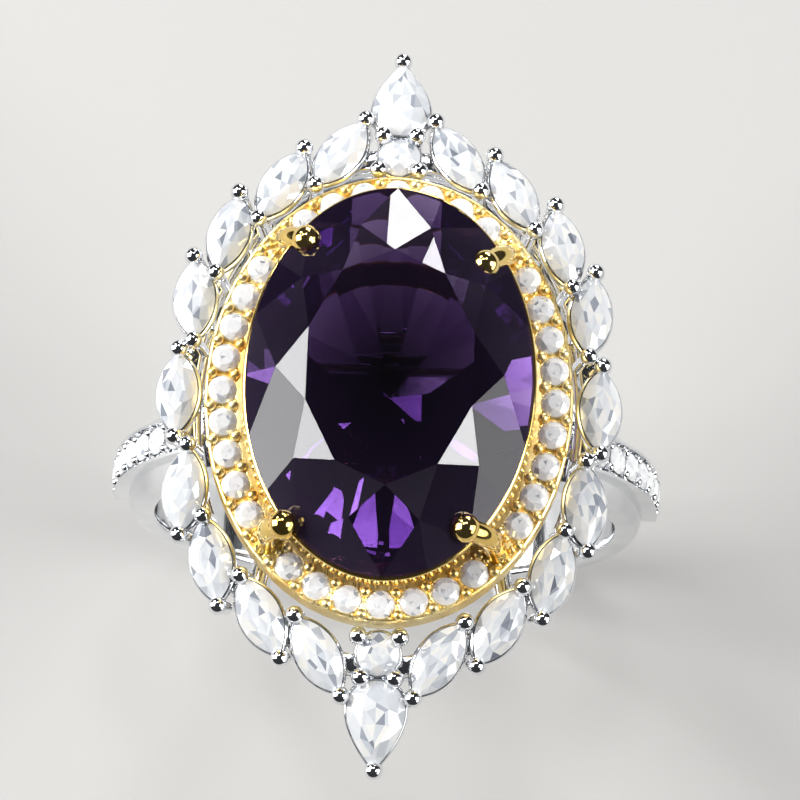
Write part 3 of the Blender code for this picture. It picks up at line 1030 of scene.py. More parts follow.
@dataclass
class OuterHalo:
    """The silver halo: seats joined by a rail, stones in them, and shared prongs between."""

    marquise_size: tuple[float, float] = (1.5, 3.0)
    pear_size: tuple[float, float] = (2.05, 3.1)
    round_size: float = 1.5
    side_x: float = 7.46
    # Middle of each slanting marquise in one quarter, and its slant in degrees
    slanting: tuple[tuple[float, float, float], ...] = (
        (7.04, 3.50, -4),
        (5.96, 6.00, 11),
        (4.15, 7.92, 27),
        (2.10, 9.20, 31),
    )
    round_y: float = 9.1
    pear_y: float = 11.5
    mains: int = 8
    table_share: float = 0.52
    girdle_share: float = 0.05
    crown_share: float = 0.17
    pavilion_share: float = 0.42
    seat_gap: float = 0.012
    seat_wall: float = 0.11
    seat_depth: float = 0.9
    seat_lip: float = 0.05
    seat_ledge: float = 0.06
    seat_waist: float = -0.26
    seat_steps: int = 72
    back_share: float = 0.45
    prong_radius: float = 0.33
    prong_stem: float = 0.25
    prong_rise: float = 0.48
    prong_drop: float = 1.15
    prong_reach: float = 0.1
    prong_neck: float = 0.42
    prong_sides: int = 20
    # The ball is turned from its top down to this angle below its middle
    ball_end: float = -0.75
    ball_points: int = 10
    # Prongs beside a round stone: across from its middle line, and in from its middle
    outer_prong_x: float = 0.59
    inner_prong_x: float = 0.72
    inner_prong_in: float = 0.6
    rail: Ellipse = Ellipse(7.15, 9.35)
    rail_width: float = 0.7
    rail_top: float = -0.75
    rail_bottom: float = -1.25
    rail_steps: int = 240

    def marquise_places(self) -> list[Place]:
        """The marquises' places.

        Returns:
            The places, in the order of their nodes.
        """
        places = [LAYOUT.on_dome(side * self.side_x, 0) for side in (1, -1)]
        for x, y, slant in self.slanting:
            places += [LAYOUT.on_dome(px, py, math.radians(slant)) for px, py in quarters(x, y)]
        return places

    def groups(self) -> list[tuple[str, list[Place], Outline, float]]:
        """Each kind of stone.

        Returns:
            For each kind its name, places, outline and width.
        """
        pears = [LAYOUT.on_dome(0, side * self.pear_y) for side in (1, -1)]
        rounds = [LAYOUT.on_dome(0, side * self.round_y) for side in (1, -1)]
        pointed = marquise(*self.marquise_size)
        return [
            ("marquise", self.marquise_places(), pointed, self.marquise_size[0]),
            ("pear", pears, pear(*self.pear_size), self.pear_size[0]),
            ("round_stone", rounds, oval(self.round_size, self.round_size), self.round_size),
        ]

    def prong_places(self) -> list[Place]:
        """The prongs: at the tips of marquises and pears, and beside the round stones.

        Returns:
            Their places.
        """
        reach = self.marquise_size[1] / 2 + self.prong_reach
        tips = [p.put(np.array([0, s * reach, 0])) for p in self.marquise_places() for s in (1, -1)]
        pears = [LAYOUT.on_dome(0, side * self.pear_y) for side in (1, -1)]
        tips += [p.put(np.array([0, self.pear_size[1] / 2, 0])) for p in pears]
        between = (self.round_y + self.round_size / 2 + self.pear_y - self.pear_size[1] / 2) / 2
        spots = [(t[0], t[1]) for t in tips]
        spots += quarters(self.outer_prong_x, between)
        spots += quarters(self.inner_prong_x, self.round_y - self.inner_prong_in)
        return [LAYOUT.on_dome(*spot) for spot in spots]

    def seat(self, outline: Outline, width: float) -> Surface:
        """The wall round a stone: its outline, scaled by s and moved out by d, at each height z.

        Args:
            outline: The stone's outline.
            width: The stone's width, which sets its girdle.

        Returns:
            The wall, with the stone's girdle at height 0.
        """
        t = np.arange(self.seat_steps) * FULL_TURN / self.seat_steps
        edge = outline(t)
        tangent = np.roll(edge, -1, axis=0) - np.roll(edge, 1, axis=0)
        out = unit(np.stack([tangent[:, 1], -tangent[:, 0]], axis=-1))
        girdle = self.girdle_share * width / 2
        wall, lip, depth = self.seat_wall, self.seat_lip, self.seat_depth
        # Rows of (s, d, z): the ledge, the rounded lip, the outside as it tapers, and the open back
        profile = np.array(
            [
                (1.0, self.seat_gap, -girdle - self.seat_ledge),
                (1.0, self.seat_gap, -lip),
                (1.0, wall * 0.35, -lip * 0.6),
                (1.0, wall * 0.75, -lip * 1.2),
                (1.0, wall, -lip * 2.6),
                (1.0, wall * 0.95, self.seat_waist),
                (0.92, wall * 0.7, -depth * 0.35),
                (0.74, wall * 0.8, -depth * 0.8),
                (0.66, wall * 0.8, -depth),
                (self.back_share, 0.0, -depth),
                (self.back_share, 0.0, -depth * 0.85),
            ]
        )
        scale, outward, level = (profile[:, k, None, None] for k in range(3))
        scaled = edge[None] * scale + out[None] * outward
        height = np.broadcast_to(level, (*scaled.shape[:2], 1))
        grid = np.concatenate([scaled, height], axis=-1)
        return Surface.from_grid(grid, close_u=True, close_v=True)

    def prong(self) -> Surface:
        """A stem with a ball on top, turned: the ball is a circle, the stem flares into it.

        Returns:
            The prong, upright, with the stone's girdle at height 0.
        """
        ball_height = self.prong_rise - self.prong_radius
        angle = np.linspace(math.pi / 2, self.ball_end, self.ball_points)
        circle = np.stack([np.cos(angle), np.sin(angle)], axis=-1)
        ball = circle * self.prong_radius + [0, ball_height]
        ball[0, 0] = CLOSED
        stem = [
            (self.prong_stem, ball_height - self.prong_neck),
            (self.prong_stem, -self.prong_drop),
            (CLOSED, -self.prong_drop),
        ]
        return turned(np.concatenate([ball, stem]), self.prong_sides)

    def build(self) -> None:
        """Makes the metal, then sets every stone."""
        silver = material_of(RHODIUM)
        seats = [
            self.seat(outline, width).repeated(places) for _, places, outline, width in self.groups()
        ]
        section = soft_box(self.rail_width, self.rail_top, self.rail_bottom)
        metal = joined(seats + [self.rail.band(section, self.rail_steps, LAYOUT.level)])
        halo = make_piece("silver_halo", metal, silver, smooth_deg=40)
        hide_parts("outer_halo")
        prongs = self.prong().repeated(self.prong_places())
        make_piece("silver_prongs", prongs, silver, smooth_deg=50)
        for name, places, outline, width in self.groups():
            cut = BrilliantCut(
                mains=self.mains,
                table=self.table_share,
                crown=self.crown_share * width,
                girdle=self.girdle_share * width,
                pavilion=self.pavilion_share * width,
            )
            surface = cut.surface(outline)
            for number, place in enumerate(places, 1):
                node = f"{name}_{number:02d}"
                add_stone(f"clear_{node}", surface, place, ZIRCONIA, node)


def ridge(distance: Array, width: float) -> Array:
    """A rounded ridge, 1 high where the distance is 0: exp(-(distance / width)^2)."""
    return np.exp(-((distance / width) ** 2))


@dataclass
class InnerHalo:
    """The gold halo: a plate drilled for its round stones, with cut beads between them."""

    stone: float = 1.0
    cut: BrilliantCut = BrilliantCut(
        mains=8, table=0.55, crown=0.17, girdle=0.04, pavilion=0.42, arc_points=2
    )
    inner_margin: float = 1.1
    outer_margin: float = 0.62
    thickness: float = 1.0
    seat_clearance: float = 0.015
    pocket_depth: float = 0.42
    groove_depth: float = 0.07
    groove_out: float = 0.11
    groove_width: float = 0.06
    groove_reach: float = 0.5
    rim: float = 0.1
    rim_rise: float = 0.05
    rim_width: float = 0.08
    edge_in: float = 0.05
    edge_rise: float = 0.04
    edge_width: float = 0.06
    inner_corner: float = 0.05
    outer_corner: float = 0.06
    wall_flare: float = 0.01
    wall_flare_depth: float = 0.2
    bead_radius: float = 0.2
    bead_rise: float = 0.24
    bead_offset: float = 0.4
    bead_foot: float = 0.15
    grain_radius: float = 0.13
    grain_rise: float = 0.14
    # Where the grains lie round a claw's foot: outward from it, and along the halo
    grain_spots: tuple[tuple[float, float], ...] = (
        (0.42, 0.0),
        (-0.44, 0.22),
        (-0.44, -0.22),
        (0.3, 0.36),
        (0.3, -0.36),
        (-0.1, 0.52),
        (-0.1, -0.52),
    )
    milgrain_radius: float = 0.13
    milgrain_rise: float = 0.16
    milgrain_offset: float = 0.8
    milgrain_count: int = 118
    steps_per_stone: int = 30
    steps_across: int = 56

    def stations(self) -> tuple[Array, Array]:
        """Every station's point and outward normal."""
        return LAYOUT.pave_line.line(LAYOUT.pave_stations)

    def upright(self, spot: Sequence[float]) -> Place:
        """A place on the plate's level top."""
        return Place.facing((*spot, LAYOUT.pave_height), (0, 0, 1), (0, 1, 0))

    def stone_places(self) -> list[Place]:
        """The round stones' places, which leave out the claws' stations.

        Returns:
            The places, in the order of their nodes.
        """
        points, normals = self.stations()
        return [
            Place.facing((*p, LAYOUT.pave_height), (0, 0, 1), (-n[1], n[0], 0))
            for k, (p, n) in enumerate(zip(points, normals))
            if k not in LAYOUT.claws()
        ]

    def top(self, distance: Array, has_stone: Array, across: Array) -> Array:
        """The height of the plate's top, from 0 where it is level.

        With r the distance from the nearest stone's middle and R the pocket's radius, it is
        -depth (1 - r/R) inside the pocket. A shallow ring is cut round each pocket, which leaves
        its wall a little proud, and the plate's two edges rise as a rim.

        Args:
            distance: r at each point.
            has_stone: Whether the nearest station holds a stone.
            across: How far each point lies outward from the stones' line.

        Returns:
            The heights.
        """
        radius = self.stone / 2 + self.seat_clearance
        pocket = np.where(has_stone & (distance < radius), 1 - distance / radius, 0)
        ring = ridge(distance - radius - self.groove_out, self.groove_width) * has_stone
        groove = self.groove_depth * ring * (np.abs(across)[None] < self.groove_reach)
        rim = self.rim_rise * ridge(across - self.outer_margin + self.rim, self.rim_width)
        edge = self.edge_rise * ridge(across + self.inner_margin - self.edge_in, self.edge_width)
        top = -pocket * self.pocket_depth - groove + rim[None] + edge[None]
        top[:, 0] -= self.inner_corner
        top[:, -1] -= self.outer_corner
        return top

    def plate(self) -> Surface:
        """The plate: its top, carried round the stones' line, and its walls and back below.

        Returns:
            The surface.
        """
        count = LAYOUT.pave_stations * self.steps_per_stone
        points, normals = LAYOUT.pave_line.line(count)
        centres, _ = self.stations()
        across = np.linspace(-self.inner_margin, self.outer_margin, self.steps_across)
        flat = points[:, None] + normals[:, None] * across[None, :, None]
        nearest = np.rint(np.arange(count) / self.steps_per_stone).astype(int) % LAYOUT.pave_stations
        distance = np.linalg.norm(flat - centres[nearest][:, None], axis=-1)
        has_stone = ~np.isin(nearest, LAYOUT.claws())[:, None]
        walls = np.array(
            [
                (self.outer_margin + self.wall_flare, -self.wall_flare_depth),
                (self.outer_margin, -self.thickness),
                (-self.inner_margin, -self.thickness),
            ]
        )
        below = points[:, None] + normals[:, None] * walls[None, :, 0, None]
        grid = np.concatenate([flat, below], axis=1)
        low = np.broadcast_to(walls[:, 1], (count, len(walls)))
        height = np.concatenate([self.top(distance, has_stone, across), low], axis=1)
        grid = np.concatenate([grid, height[..., None] + LAYOUT.pave_height], axis=-1)
        return Surface.from_grid(grid, close_u=True, close_v=True)

    def bead(self, radius: float, rise: float, rings: int = 6, sides: int = 14) -> Surface:
        """A dome on a short foot, turned.

        Args:
            radius: The dome's radius.
            rise: How far it stands above the metal.
            rings: Points from its top to its side.
            sides: Points round it.

        Returns:
            The surface.
        """
        angle = np.linspace(math.pi / 2, 0, rings)
        dome = np.stack([np.cos(angle) * radius, np.sin(angle) * radius + rise - radius], axis=-1)
        dome[0, 0] = CLOSED
        foot = [(radius, -self.bead_foot), (CLOSED, -self.bead_foot)]
        return turned(np.concatenate([dome, foot]), sides)

    def milgrain_places(self) -> list[Place]:
        """The row of fine grains along the plate's inner edge.

        Returns:
            Their places.
        """
        middle, offset = LAYOUT.pave_line, self.milgrain_offset
        points, _ = Ellipse(middle.half_x - offset, middle.half_y - offset).line(self.milgrain_count)
        return [self.upright(p) for p in points]

    def bead_places(self) -> list[Place]:
        """Two beads between each station and the next.

        Returns:
            Their places.
        """
        points, normals = LAYOUT.pave_line.line(LAYOUT.pave_stations * 2)
        return [
            self.upright(p + n * side * self.bead_offset)
            for p, n in zip(points[1::2], normals[1::2])
            for side in (1, -1)
        ]

    def grain_places(self) -> list[Place]:
        """Small grains raised round the foot of each claw, where no stone is set.

        Returns:
            Their places.
        """
        points, normals = self.stations()
        places = []
        for k in LAYOUT.claws():
            outward = normals[k]
            onward = np.array([-outward[1], outward[0]])
            for out, along in self.grain_spots:
                places.append(self.upright(points[k] + outward * out + onward * along))
        return places

    def build(self) -> None:
        """Makes the plate and beads, then sets every stone."""
        gold = material_of(GOLD_CUT_PAINTED_PALE)
        plate = make_piece("gold_halo_plate", self.plate(), gold, smooth_deg=30)
        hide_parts("inner_halo")
        beads = self.bead(self.bead_radius, self.bead_rise).repeated(self.bead_places())
        grains = self.bead(self.grain_radius, self.grain_rise).repeated(self.grain_places())
        fine = self.bead(self.milgrain_radius, self.milgrain_rise, rings=4, sides=8)
        milgrain = fine.repeated(self.milgrain_places())
        raised = joined([beads, grains, milgrain])
        make_piece("gold_halo_beads", raised, gold, smooth_deg=60)
        surface = self.cut.surface(oval(self.stone, self.stone))
        for number, place in enumerate(self.stone_places(), 1):
            node = f"pave_{number:02d}"
            add_stone(f"clear_{node}", surface, place, SMALL_ZIRCONIA, node)


@dataclass
class ClawBasket:
    """The gold basket: a collar below and four claws that close over the centre stone."""

    body_radius: float = 0.4
    ball_radius: float = 0.52
    ball_flatness: float = 0.92
    ball_points: int = 17
    ball_sides: int = 28
    collar: Ellipse = Ellipse(2.9, 4.0)
    collar_width: float = 0.8
    collar_top: float = 10.65
    collar_thickness: float = 0.7
    collar_steps: int = 160
    grip: float = 0.5
    overlap: float = 0.17
    # How the claw stands beside the girdle: its distance as a share of its radius, its share of the
    # tip's lean, and how far below the girdle it stops rising straight
    stand_share: float = 0.95
    lean_share: float = 0.55
    below_girdle: float = 0.25
    # Heights below and above the gold halo where it passes through, and its share of the way out
    below_halo: float = 1.0
    above_halo: float = 0.5
    out_share: float = 0.4
    line_steps: int = 48
    bar_sides: int = 24
    # Points back from the end that give the tip's direction
    tip_steps: int = 7
    bearing: Ellipse = Ellipse(4.97, 6.97)
    bearing_wire: float = 0.28
    bearing_below: float = 0.33
    bearing_steps: int = 200
    # How far each tip was bent sideways when it was closed, in order round the stone
    leans: tuple[tuple[float, float], ...] = (
        (-0.31, -0.56),
        (0.36, 0.07),
        (0.03, -0.66),
        (-0.67, -0.51),
    )

    def claw(self, point: Array, lean: Array) -> Surface:
        """One claw: a smooth bar along a curve that ends in a ball.

        Args:
            point: Where it passes through the gold halo.
            lean: How far its tip was bent sideways when it was closed.

        Returns:
            The surface.
        """
        stone = np.array([CentreStone.width / 2, CentreStone.length / 2])
        edge = point / np.linalg.norm(point / stone)
        out = unit(edge / stone**2)
        foot = point / math.hypot(point[0] / self.collar.half_x, point[1] / self.collar.half_y)
        tip = np.array([*(edge - out * self.overlap + lean), LAYOUT.girdle_height + self.grip])
        side = edge + out * self.body_radius * self.stand_share + lean * self.lean_share
        halfway = point * (1 - self.out_share) + side * self.out_share
        line = smooth_line(
            [
                (*foot, self.collar_top - self.collar_thickness / 2),
                (*point, LAYOUT.pave_height - self.below_halo),
                (*halfway, LAYOUT.pave_height + self.above_halo),
                (*side, LAYOUT.girdle_height - self.below_girdle),
                tip,
            ],
            self.line_steps,
        )
        radii = np.full(len(line), self.body_radius)
        radii[[0, -1]] = CLOSED
        bar = tube(line, radii, self.bar_sides, (-point[1], point[0], 0))
        angle = np.linspace(math.pi / 2, -math.pi / 2, self.ball_points)
        circle = np.stack([np.cos(angle), np.sin(angle) * self.ball_flatness], axis=-1)
        profile = circle * self.ball_radius
        profile[[0, -1], 0] = CLOSED
        ahead = line[-1] - line[-1 - self.tip_steps]
        ball = turned(profile, self.ball_sides).repeated([Place.facing(tip, ahead, (0, 0, 1))])
        return joined([bar, ball])

    def build(self) -> None:
        """Makes the collar, the bearing wire under the stone and the claws."""
        section = soft_box(self.collar_width, 0, -self.collar_thickness)
        band = self.collar.band(section, self.collar_steps, flat_at(self.collar_top))
        wire = soft_box(self.bearing_wire, self.bearing_wire, 0, power=2.0, steps=12)
        level = LAYOUT.girdle_height - self.bearing_below
        bearing = self.bearing.band(wire, self.bearing_steps, flat_at(level))
        points, _ = LAYOUT.pave_line.line(LAYOUT.pave_stations)
        claws = [self.claw(points[k], np.array(lean)) for k, lean in zip(LAYOUT.claws(), self.leans)]
        metal = joined([band, bearing, *claws])
        basket = make_piece("gold_basket", metal, material_of(GOLD_FLASH), smooth_deg=50)
        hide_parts("claw_basket")


# ---------------------------------------------------------------- hoop and gallery


@dataclass
class Hoop:
    """The polished hoop, a flat inside and a crowned outside, with a paved strip on each shoulder."""

    finger_radius: float = 8.65
    wall: float = 1.2
    width: float = 2.8
    crown: float = 0.35
    strip_width: float = 1.5
    strip_rise: float = 0.45
    strip_start: float = 36.0
    strip_end: float = 91.0
    strip_wall: float = 0.13
    # How the strip's top stands against strip_radius: its floor, its walls, and the cut round stones
    strip_floor: float = 0.12
    strip_wall_rise: float = 0.1
    groove_depth: float = 0.08
    pocket_depth: float = 0.42
    seat_clearance: float = 0.015
    # How far into the hoop's wall the strip starts, as a share of the wall
    strip_root: float = 0.5
    stone: float = 1.0
    cut: BrilliantCut = BrilliantCut(
        mains=8, table=0.55, crown=0.15, girdle=0.04, pavilion=0.42, arc_points=2
    )
    stone_pitch: float = 1.12
    # The last stone's distance from the strip's end, in pitches
    end_pitch: float = 0.62
    stones_each_side: int = 8
    # How far below the strip's top the stones' girdles lie
    girdle_below: float = 0.1
    bead_radius: float = 0.17
    bead_rise: float = 0.2
    bead_offset: float = 0.4
    crown_from: float = 0.3
    ring_steps: int = 240
    section_steps: int = 36
    strip_steps: int = 330
    strip_steps_across: int = 41

    def section(self) -> Array:
        """The hoop's section: a soft box whose outside bulges by the crown, c (1 - (2y/w)^2).

        Returns:
            Rows of (radius, y).
        """
        box = soft_box(self.width, self.wall - self.crown, 0, power=8.0, steps=self.section_steps)
        outside = box[:, 1] > self.crown_from
        bulge = self.crown * (1 - (2 * box[:, 0] / self.width) ** 2) * outside
        return np.stack([self.finger_radius + box[:, 1] + bulge, box[:, 0]], axis=-1)

    def ring(self) -> Surface:
        """The hoop: its section carried round the finger, (r sin t, y, r cos t).

        Returns:
            The surface.
        """
        section = self.section()
        turn = (np.arange(self.ring_steps) * FULL_TURN / self.ring_steps)[:, None]
        r, y = section[None, :, 0], section[None, :, 1]
        grid = np.stack([r * np.sin(turn), y + 0 * turn, r * np.cos(turn)], axis=-1)
        return Surface.from_grid(grid, close_u=True, close_v=True)

    def stone_turns(self) -> Array:
        """The turn of each shoulder stone from the top, the last one close to the strip's end.

        Returns:
            The turns, in radians.
        """
        step = math.degrees(self.stone_pitch / self.strip_radius)
        last = self.strip_end - step * self.end_pitch
        return np.radians(last - np.arange(self.stones_each_side)[::-1] * step)

    @property
    def strip_radius(self) -> float:
        """The height of the strip's top from the finger's axis."""
        return self.finger_radius + self.wall + self.strip_rise

    def strip(self, side: int) -> Surface:
        """The raised strip: straight walls, and a top that dips to a cone under each stone.

        With r the distance from the nearest stone's middle and R the pocket's radius, the dip is
        depth (1 - r/R) inside the pocket.

        Args:
            side: 1 for the shoulder at +x, -1 for the other.

        Returns:
            The surface.
        """
        turns = np.radians(np.linspace(self.strip_start, self.strip_end, self.strip_steps))
        half = self.strip_width / 2
        y = np.linspace(-half, half, self.strip_steps_across)
        centres = self.stone_turns()
        nearest = centres[np.abs(turns[:, None] - centres[None]).argmin(axis=1)]
        distance = np.hypot((turns - nearest)[:, None] * self.strip_radius, y[None])
        radius = self.stone / 2 + self.seat_clearance
        pocket = np.clip(1 - distance / radius, 0, None) * self.pocket_depth
        in_wall = (np.abs(y) >= half - self.strip_wall)[None]
        groove = self.groove_depth * (distance > radius) * ~in_wall
        floor = self.strip_radius - self.strip_floor
        top = floor - pocket - groove + self.strip_wall_rise * in_wall
        low = np.full((len(turns), 1), self.finger_radius + self.wall * self.strip_root)
        heights = np.concatenate([low, top, low], axis=1)
        widths = np.concatenate([[-half], y, [half]])
        grid = np.stack(
            [
                side * heights * np.sin(turns)[:, None],
                np.broadcast_to(widths, heights.shape),
                heights * np.cos(turns)[:, None],
            ],
            axis=-1,
        )
        return Surface.from_grid(grid, close_v=True)

    def shoulder_place(self, side: int, turn: float, y: float, radius: float) -> Place:
        """A place on a shoulder, facing away from the finger.

        Args:
            side: 1 for the shoulder at +x, -1 for the other.
            turn: Its turn from the top, in radians.
            y: Its distance along the finger.
            radius: Its distance from the finger's axis.

        Returns:
            The place.
        """
        out = np.array([side * math.sin(turn), 0, math.cos(turn)])
        return Place.facing(out * radius + [0, y, 0], out, (0, 1, 0))

    def build(self) -> None:
        """Makes the hoop, the strips, their beads and their stones."""
        silver = material_of(RHODIUM)
        ring = make_piece("polished_hoop", self.ring(), silver, smooth_deg=40)
        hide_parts("shank")
        strips = joined([self.strip(side) for side in (1, -1)])
        make_piece("shoulder_strips", strips, silver, smooth_deg=30)
        turns = self.stone_turns()
        step = turns[1] - turns[0]
        level = self.strip_radius - self.girdle_below
        surface = self.cut.surface(oval(self.stone, self.stone))
        bead = InnerHalo().bead(self.bead_radius, self.bead_rise)
        # A pair of beads after each stone, and one more before the first
        bead_places = [
            self.shoulder_place(side, turn + step / 2 * way, y, level)
            for side in (1, -1)
            for way, group in ((1, turns), (-1, turns[:1]))
            for turn in group
            for y in (-self.bead_offset, self.bead_offset)
        ]
        beads = bead.repeated(bead_places)
        make_piece("shoulder_beads", beads, silver, smooth_deg=60)
        for side, word in ((1, "right"), (-1, "left")):
            for number, turn in enumerate(turns, 1):
                place = self.shoulder_place(side, turn, 0, level)
                add_stone(f"clear_{word}_shoulder_{number:02d}", surface, place, SMALL_ZIRCONIA)


@dataclass
class Gallery:
    """The open framework between the hoop and the head."""

    frame: Ellipse = Ellipse(7.0, 9.2)
    frame_width: float = 0.7
    frame_thickness: float = 0.6
    frame_top: float = -2.05
    frame_steps: int = 200
    post_radius: float = 0.3
    post_count: int = 16
    strut_radius: float = 0.4
    strut_turn: float = 50.0
    # How far below the saddle's top the struts' middles lie, in strut radii
    strut_below: float = 1.05
    shoulder_post_x: float = 6.75
    # How far into the hoop's wall the shoulder posts and the saddle go, as shares of the wall
    post_root: float = 0.6
    saddle_root: float = 0.7
    saddle_length: float = 7.2
    saddle_width: float = 2.0
    saddle_top: float = 9.92
    saddle_corner: float = 0.12
    saddle_steps: int = 40
    bar_steps: int = 12
    bar_sides: int = 16
    # A bar whose way is upright by more than this share is measured from y, any other from z
    upright_share: float = 0.8

    def bar(self, start: Sequence[float], end: Sequence[float], radius: float) -> Surface:
        """A straight round bar with closed ends.

        Args:
            start: The middle of one end.
            end: The middle of the other.
            radius: Its radius.

        Returns:
            The surface.
        """
        line = np.linspace(start, end, self.bar_steps)
        radii = np.full(self.bar_steps, radius)
        radii[[0, -1]] = CLOSED
        line[1], line[-2] = line[0], line[-1]
        middle = self.bar_steps // 2
        ahead = line[middle] - line[middle - 1]
        upright = abs(ahead[2]) > np.linalg.norm(ahead) * self.upright_share
        across = unit(np.cross(ahead, (0, 1, 0) if upright else (0, 0, 1)))
        other = unit(np.cross(ahead, across))
        t = (np.arange(self.bar_sides) * FULL_TURN / self.bar_sides)[:, None]
        ring = across * np.cos(t) + other * np.sin(t)
        return Surface.from_grid(line[:, None] + radii[:, None, None] * ring[None], close_v=True)

    def frame_level(self, x: float, y: float) -> float:
        """The middle height of the frame below a point of the dome."""
        dome = float(LAYOUT.level(np.float64(x), np.float64(y)))
        return dome + self.frame_top - self.frame_thickness / 2

    def posts(self) -> list[Surface]:
        """The posts between the frame and the silver halo's rail.

        Returns:
            One surface for each.
        """
        bars = []
        for x, y in self.frame.line(self.post_count)[0]:
            head = float(LAYOUT.level(x, y)) + OuterHalo.rail_bottom
            bars.append(self.bar((x, y, self.frame_level(x, y)), (x, y, head), self.post_radius))
        return bars

    def struts(self) -> list[Surface]:
        """The four struts from the saddle's corners out to the frame.

        Returns:
            One surface for each.
        """
        turn, inset = math.radians(self.strut_turn), self.strut_radius
        far = quarters(self.frame.half_x * math.cos(turn), self.frame.half_y * math.sin(turn))
        near = quarters(self.saddle_length / 2 - inset, self.saddle_width / 2 - inset)
        level = self.saddle_top - self.strut_radius * self.strut_below
        return [
            self.bar((*start, level), (*end, self.frame_level(*end)), self.strut_radius)
            for start, end in zip(near, far)
        ]

    def shoulder_posts(self) -> list[Surface]:
        """The four posts that stand on the hoop beside its strips.

        Returns:
            One surface for each.
        """
        beside = (Hoop.strip_width + Hoop.width) / 4
        root = Hoop.finger_radius + Hoop.wall * self.post_root
        return [
            self.bar(
                (x, y, math.sqrt(root**2 - x * x)), (x, y, self.frame_level(x, y)), self.post_radius
            )
            for x, y in quarters(self.shoulder_post_x, beside)
        ]

    def saddle(self) -> Surface:
        """The block on the hoop: a level top over the hoop's curve, z = sqrt(r^2 - x^2).

        Returns:
            The surface.
        """
        x = np.linspace(-self.saddle_length / 2, self.saddle_length / 2, self.saddle_steps)
        low = np.sqrt((Hoop.finger_radius + Hoop.wall * self.saddle_root) ** 2 - x**2)
        half, corner, top = self.saddle_width / 2, self.saddle_corner, self.saddle_top
        ys = np.array([-half, -half, -half + corner, half - corner, half, half])
        # A top of 0 stands for the hoop's curve
        tops = np.array([0, top - corner, top, top, top - corner, 0])
        z = np.where(tops[None] > 0, tops[None], low[:, None])
        wide = np.broadcast_to(x[:, None], z.shape)
        grid = np.stack([wide, np.broadcast_to(ys, z.shape), z], axis=-1)
        return Surface.from_grid(grid, close_v=True)

    def build(self) -> None:
        """Makes the frame, posts, struts, shoulder posts and saddle."""
        section = soft_box(self.frame_width, self.frame_top, self.frame_top - self.frame_thickness)
        frame_band = self.frame.band(section, self.frame_steps, LAYOUT.level)
        bars = self.posts() + self.struts() + self.shoulder_posts()
        metal = joined([frame_band, *bars, self.saddle()])
        gallery = make_piece("open_gallery", metal, material_of(RHODIUM), smooth_deg=40)
        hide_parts("gallery")


# ---------------------------------------------------------------- studio


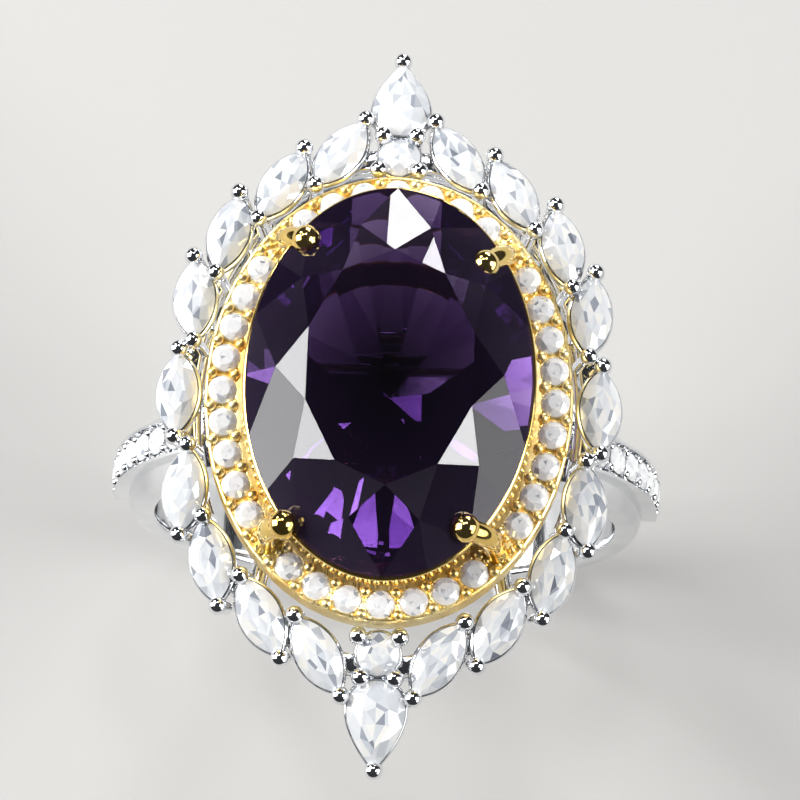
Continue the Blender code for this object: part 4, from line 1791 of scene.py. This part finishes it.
@dataclass
class Studio:
    """Pale floor, soft light panels and the camera."""

    floor_radius: float = 170.0
    floor_hole: float = 1e-3
    floor_rings: int = 24
    floor_sides: int = 64
    floor_gap: float = 0.01
    tilt_deg: float = 16.0
    roll_deg: float = 2.4
    distance: float = 150.0
    lens: float = 191.7
    aim: tuple[float, float, float] = (0.39, 0.07, 12.2)
    light_distance: float = 230.0
    backdrop: str = "#DADAD8"
    room: str = "#B9BCC4"
    room_light: float = 0.08
    sensor: float = 36.0
    nearest: float = 1.0
    furthest: float = 10000.0

    def floor(self) -> None:
        """A round sheet of paper that the hoop stands on: (r cos t, r sin t) on a polar grid."""
        radii = np.linspace(self.floor_hole, self.floor_radius, self.floor_rings)
        height = float(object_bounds()[0][2]) / MM - self.floor_gap
        profile = np.stack([radii, np.full(self.floor_rings, height)], axis=-1)
        sheet = turned(profile, self.floor_sides)
        mesh = bpy.data.meshes.new("paper_floor")
        mesh.from_pydata((sheet.points * MM).tolist(), [], sheet.faces[:, ::-1].tolist())
        mesh.materials.append(material_of(MattePaper()))
        floor = bpy.data.objects.new("paper_floor", mesh)
        bpy.context.scene.collection.objects.link(floor)
        floor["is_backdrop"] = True

    def panel(
        self, name: str, azimuth: float, elevation: float, spread: tuple[float, float], radiance: float
    ) -> None:
        """A flat light that faces the head, placed and sized by angle.

        A Lambertian panel of radiance L and area A gives pi L A watts.

        Args:
            name: The light's name.
            azimuth: Degrees round from +x.
            elevation: Degrees above the level of the head.
            spread: Its width and height as seen from the head, in degrees.
            radiance: Its brightness; 1 shows as white.
        """
        a, e = math.radians(azimuth), math.radians(elevation)
        way = Vector((math.cos(e) * math.cos(a), math.cos(e) * math.sin(a), math.sin(e)))
        data = bpy.data.lights.new(name, "AREA")
        data.shape = "RECTANGLE"
        half_sizes = (self.light_distance * MM * math.tan(math.radians(w / 2)) for w in spread)
        data.size, data.size_y = (2 * half for half in half_sizes)
        data.energy = math.pi * radiance * data.size * data.size_y
        light = bpy.data.objects.new(name, data)
        light.location = (Vector((0, 0, LAYOUT.girdle_height)) + way * self.light_distance) * MM
        light.rotation_euler = way.to_track_quat("Z", "Y").to_euler()
        bpy.context.scene.collection.objects.link(light)

    def lights(self) -> None:
        """Soft boxes to the left and right, dimmer panels below them, and low ones behind.

        The three glints above and to the left are small. Their light crosses the centre stone and
        leaves its back facets towards the camera. The room is dim where metal and stones mirror it,
        and pale where it is seen past the floor.
        """
        self.panel("left_box", 176, 38, (34, 26), 14)
        self.panel("right_box", -9, 42, (24, 20), 16)
        self.panel("left_panel", 176, 12, (34, 18), 6.5)
        self.panel("right_panel", -14, 16, (52, 24), 2.8)
        self.panel("back_box", 80.2, 12, (20, 13), 15)
        self.panel("back_glint", 69.6, 28, (7, 5), 16)
        self.panel("high_glint", 85, 64, (9, 6), 30)
        self.panel("side_glint", 131, 33, (9, 8), 30)
        self.panel("upper_glint", 132, 60, (8, 6), 30)
        self.room_around()

    def room_around(self) -> None:
        """The world: dim for every ray but the camera's."""
        world = bpy.data.worlds.new("dim_room")
        world.use_nodes = True
        tree = world.node_tree
        tree.nodes.clear()
        seen = add_node(
            tree, "ShaderNodeBackground", {"in:Color": linear(self.backdrop), "in:Strength": 1.0}
        )
        room = add_node(
            tree, "ShaderNodeBackground", {"in:Color": linear(self.room), "in:Strength": self.room_light}
        )
        rays = add_node(tree, "ShaderNodeLightPath")
        mix = add_node(tree, "ShaderNodeMixShader", links={"Fac": rays.outputs["Is Camera Ray"]})
        tree.links.new(room.outputs["Background"], mix.inputs[1])
        tree.links.new(seen.outputs["Background"], mix.inputs[2])
        output = add_node(tree, "ShaderNodeOutputWorld")
        tree.links.new(mix.outputs["Shader"], output.inputs["Surface"])
        bpy.context.scene.world = world

    def camera(self) -> None:
        """A long lens that looks down on the head from the finger's side."""
        tilt, roll = math.radians(self.tilt_deg), math.radians(self.roll_deg)
        back = Vector((0, -math.sin(tilt), math.cos(tilt)))
        level_up = Vector((0, math.cos(tilt), math.sin(tilt)))
        level_right = Vector((1, 0, 0))
        right = level_right * math.cos(roll) + level_up * math.sin(roll)
        up = level_up * math.cos(roll) - level_right * math.sin(roll)
        shift_right, shift_up, height = self.aim
        target = Vector((0, 0, height)) + right * shift_right + up * shift_up
        data = bpy.data.cameras.new("camera")
        data.lens = self.lens
        data.sensor_width = self.sensor
        data.clip_start = self.nearest * MM
        data.clip_end = self.furthest * MM
        camera = bpy.data.objects.new("camera", data)
        turn = Matrix((right, up, back)).transposed().to_4x4()
        turn.translation = (target + back * self.distance) * MM
        camera.matrix_world = turn
        bpy.context.scene.collection.objects.link(camera)
        bpy.context.scene.camera = camera

    def build(self) -> None:
        """Sets up the floor, lights and camera."""
        self.floor()
        self.lights()
        self.camera()
        view = bpy.context.scene.view_settings
        view.view_transform = "Standard"


def corners(box: Sequence[Sequence[float]]) -> list[list[float]]:
    """A box's two corners as plain lists."""
    return [[float(x) for x in corner] for corner in box]


def main() -> None:
    """Builds the ring and its studio."""
    logging.basicConfig(level=logging.INFO, format="%(name)s: %(message)s")
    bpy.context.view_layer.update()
    for part in (Hoop(), Gallery(), ClawBasket(), InnerHalo(), OuterHalo(), CentreStone(), Studio()):
        LOG.info("building %s", type(part).__name__)
        part.build()


if __name__ == "__main__":
    main()
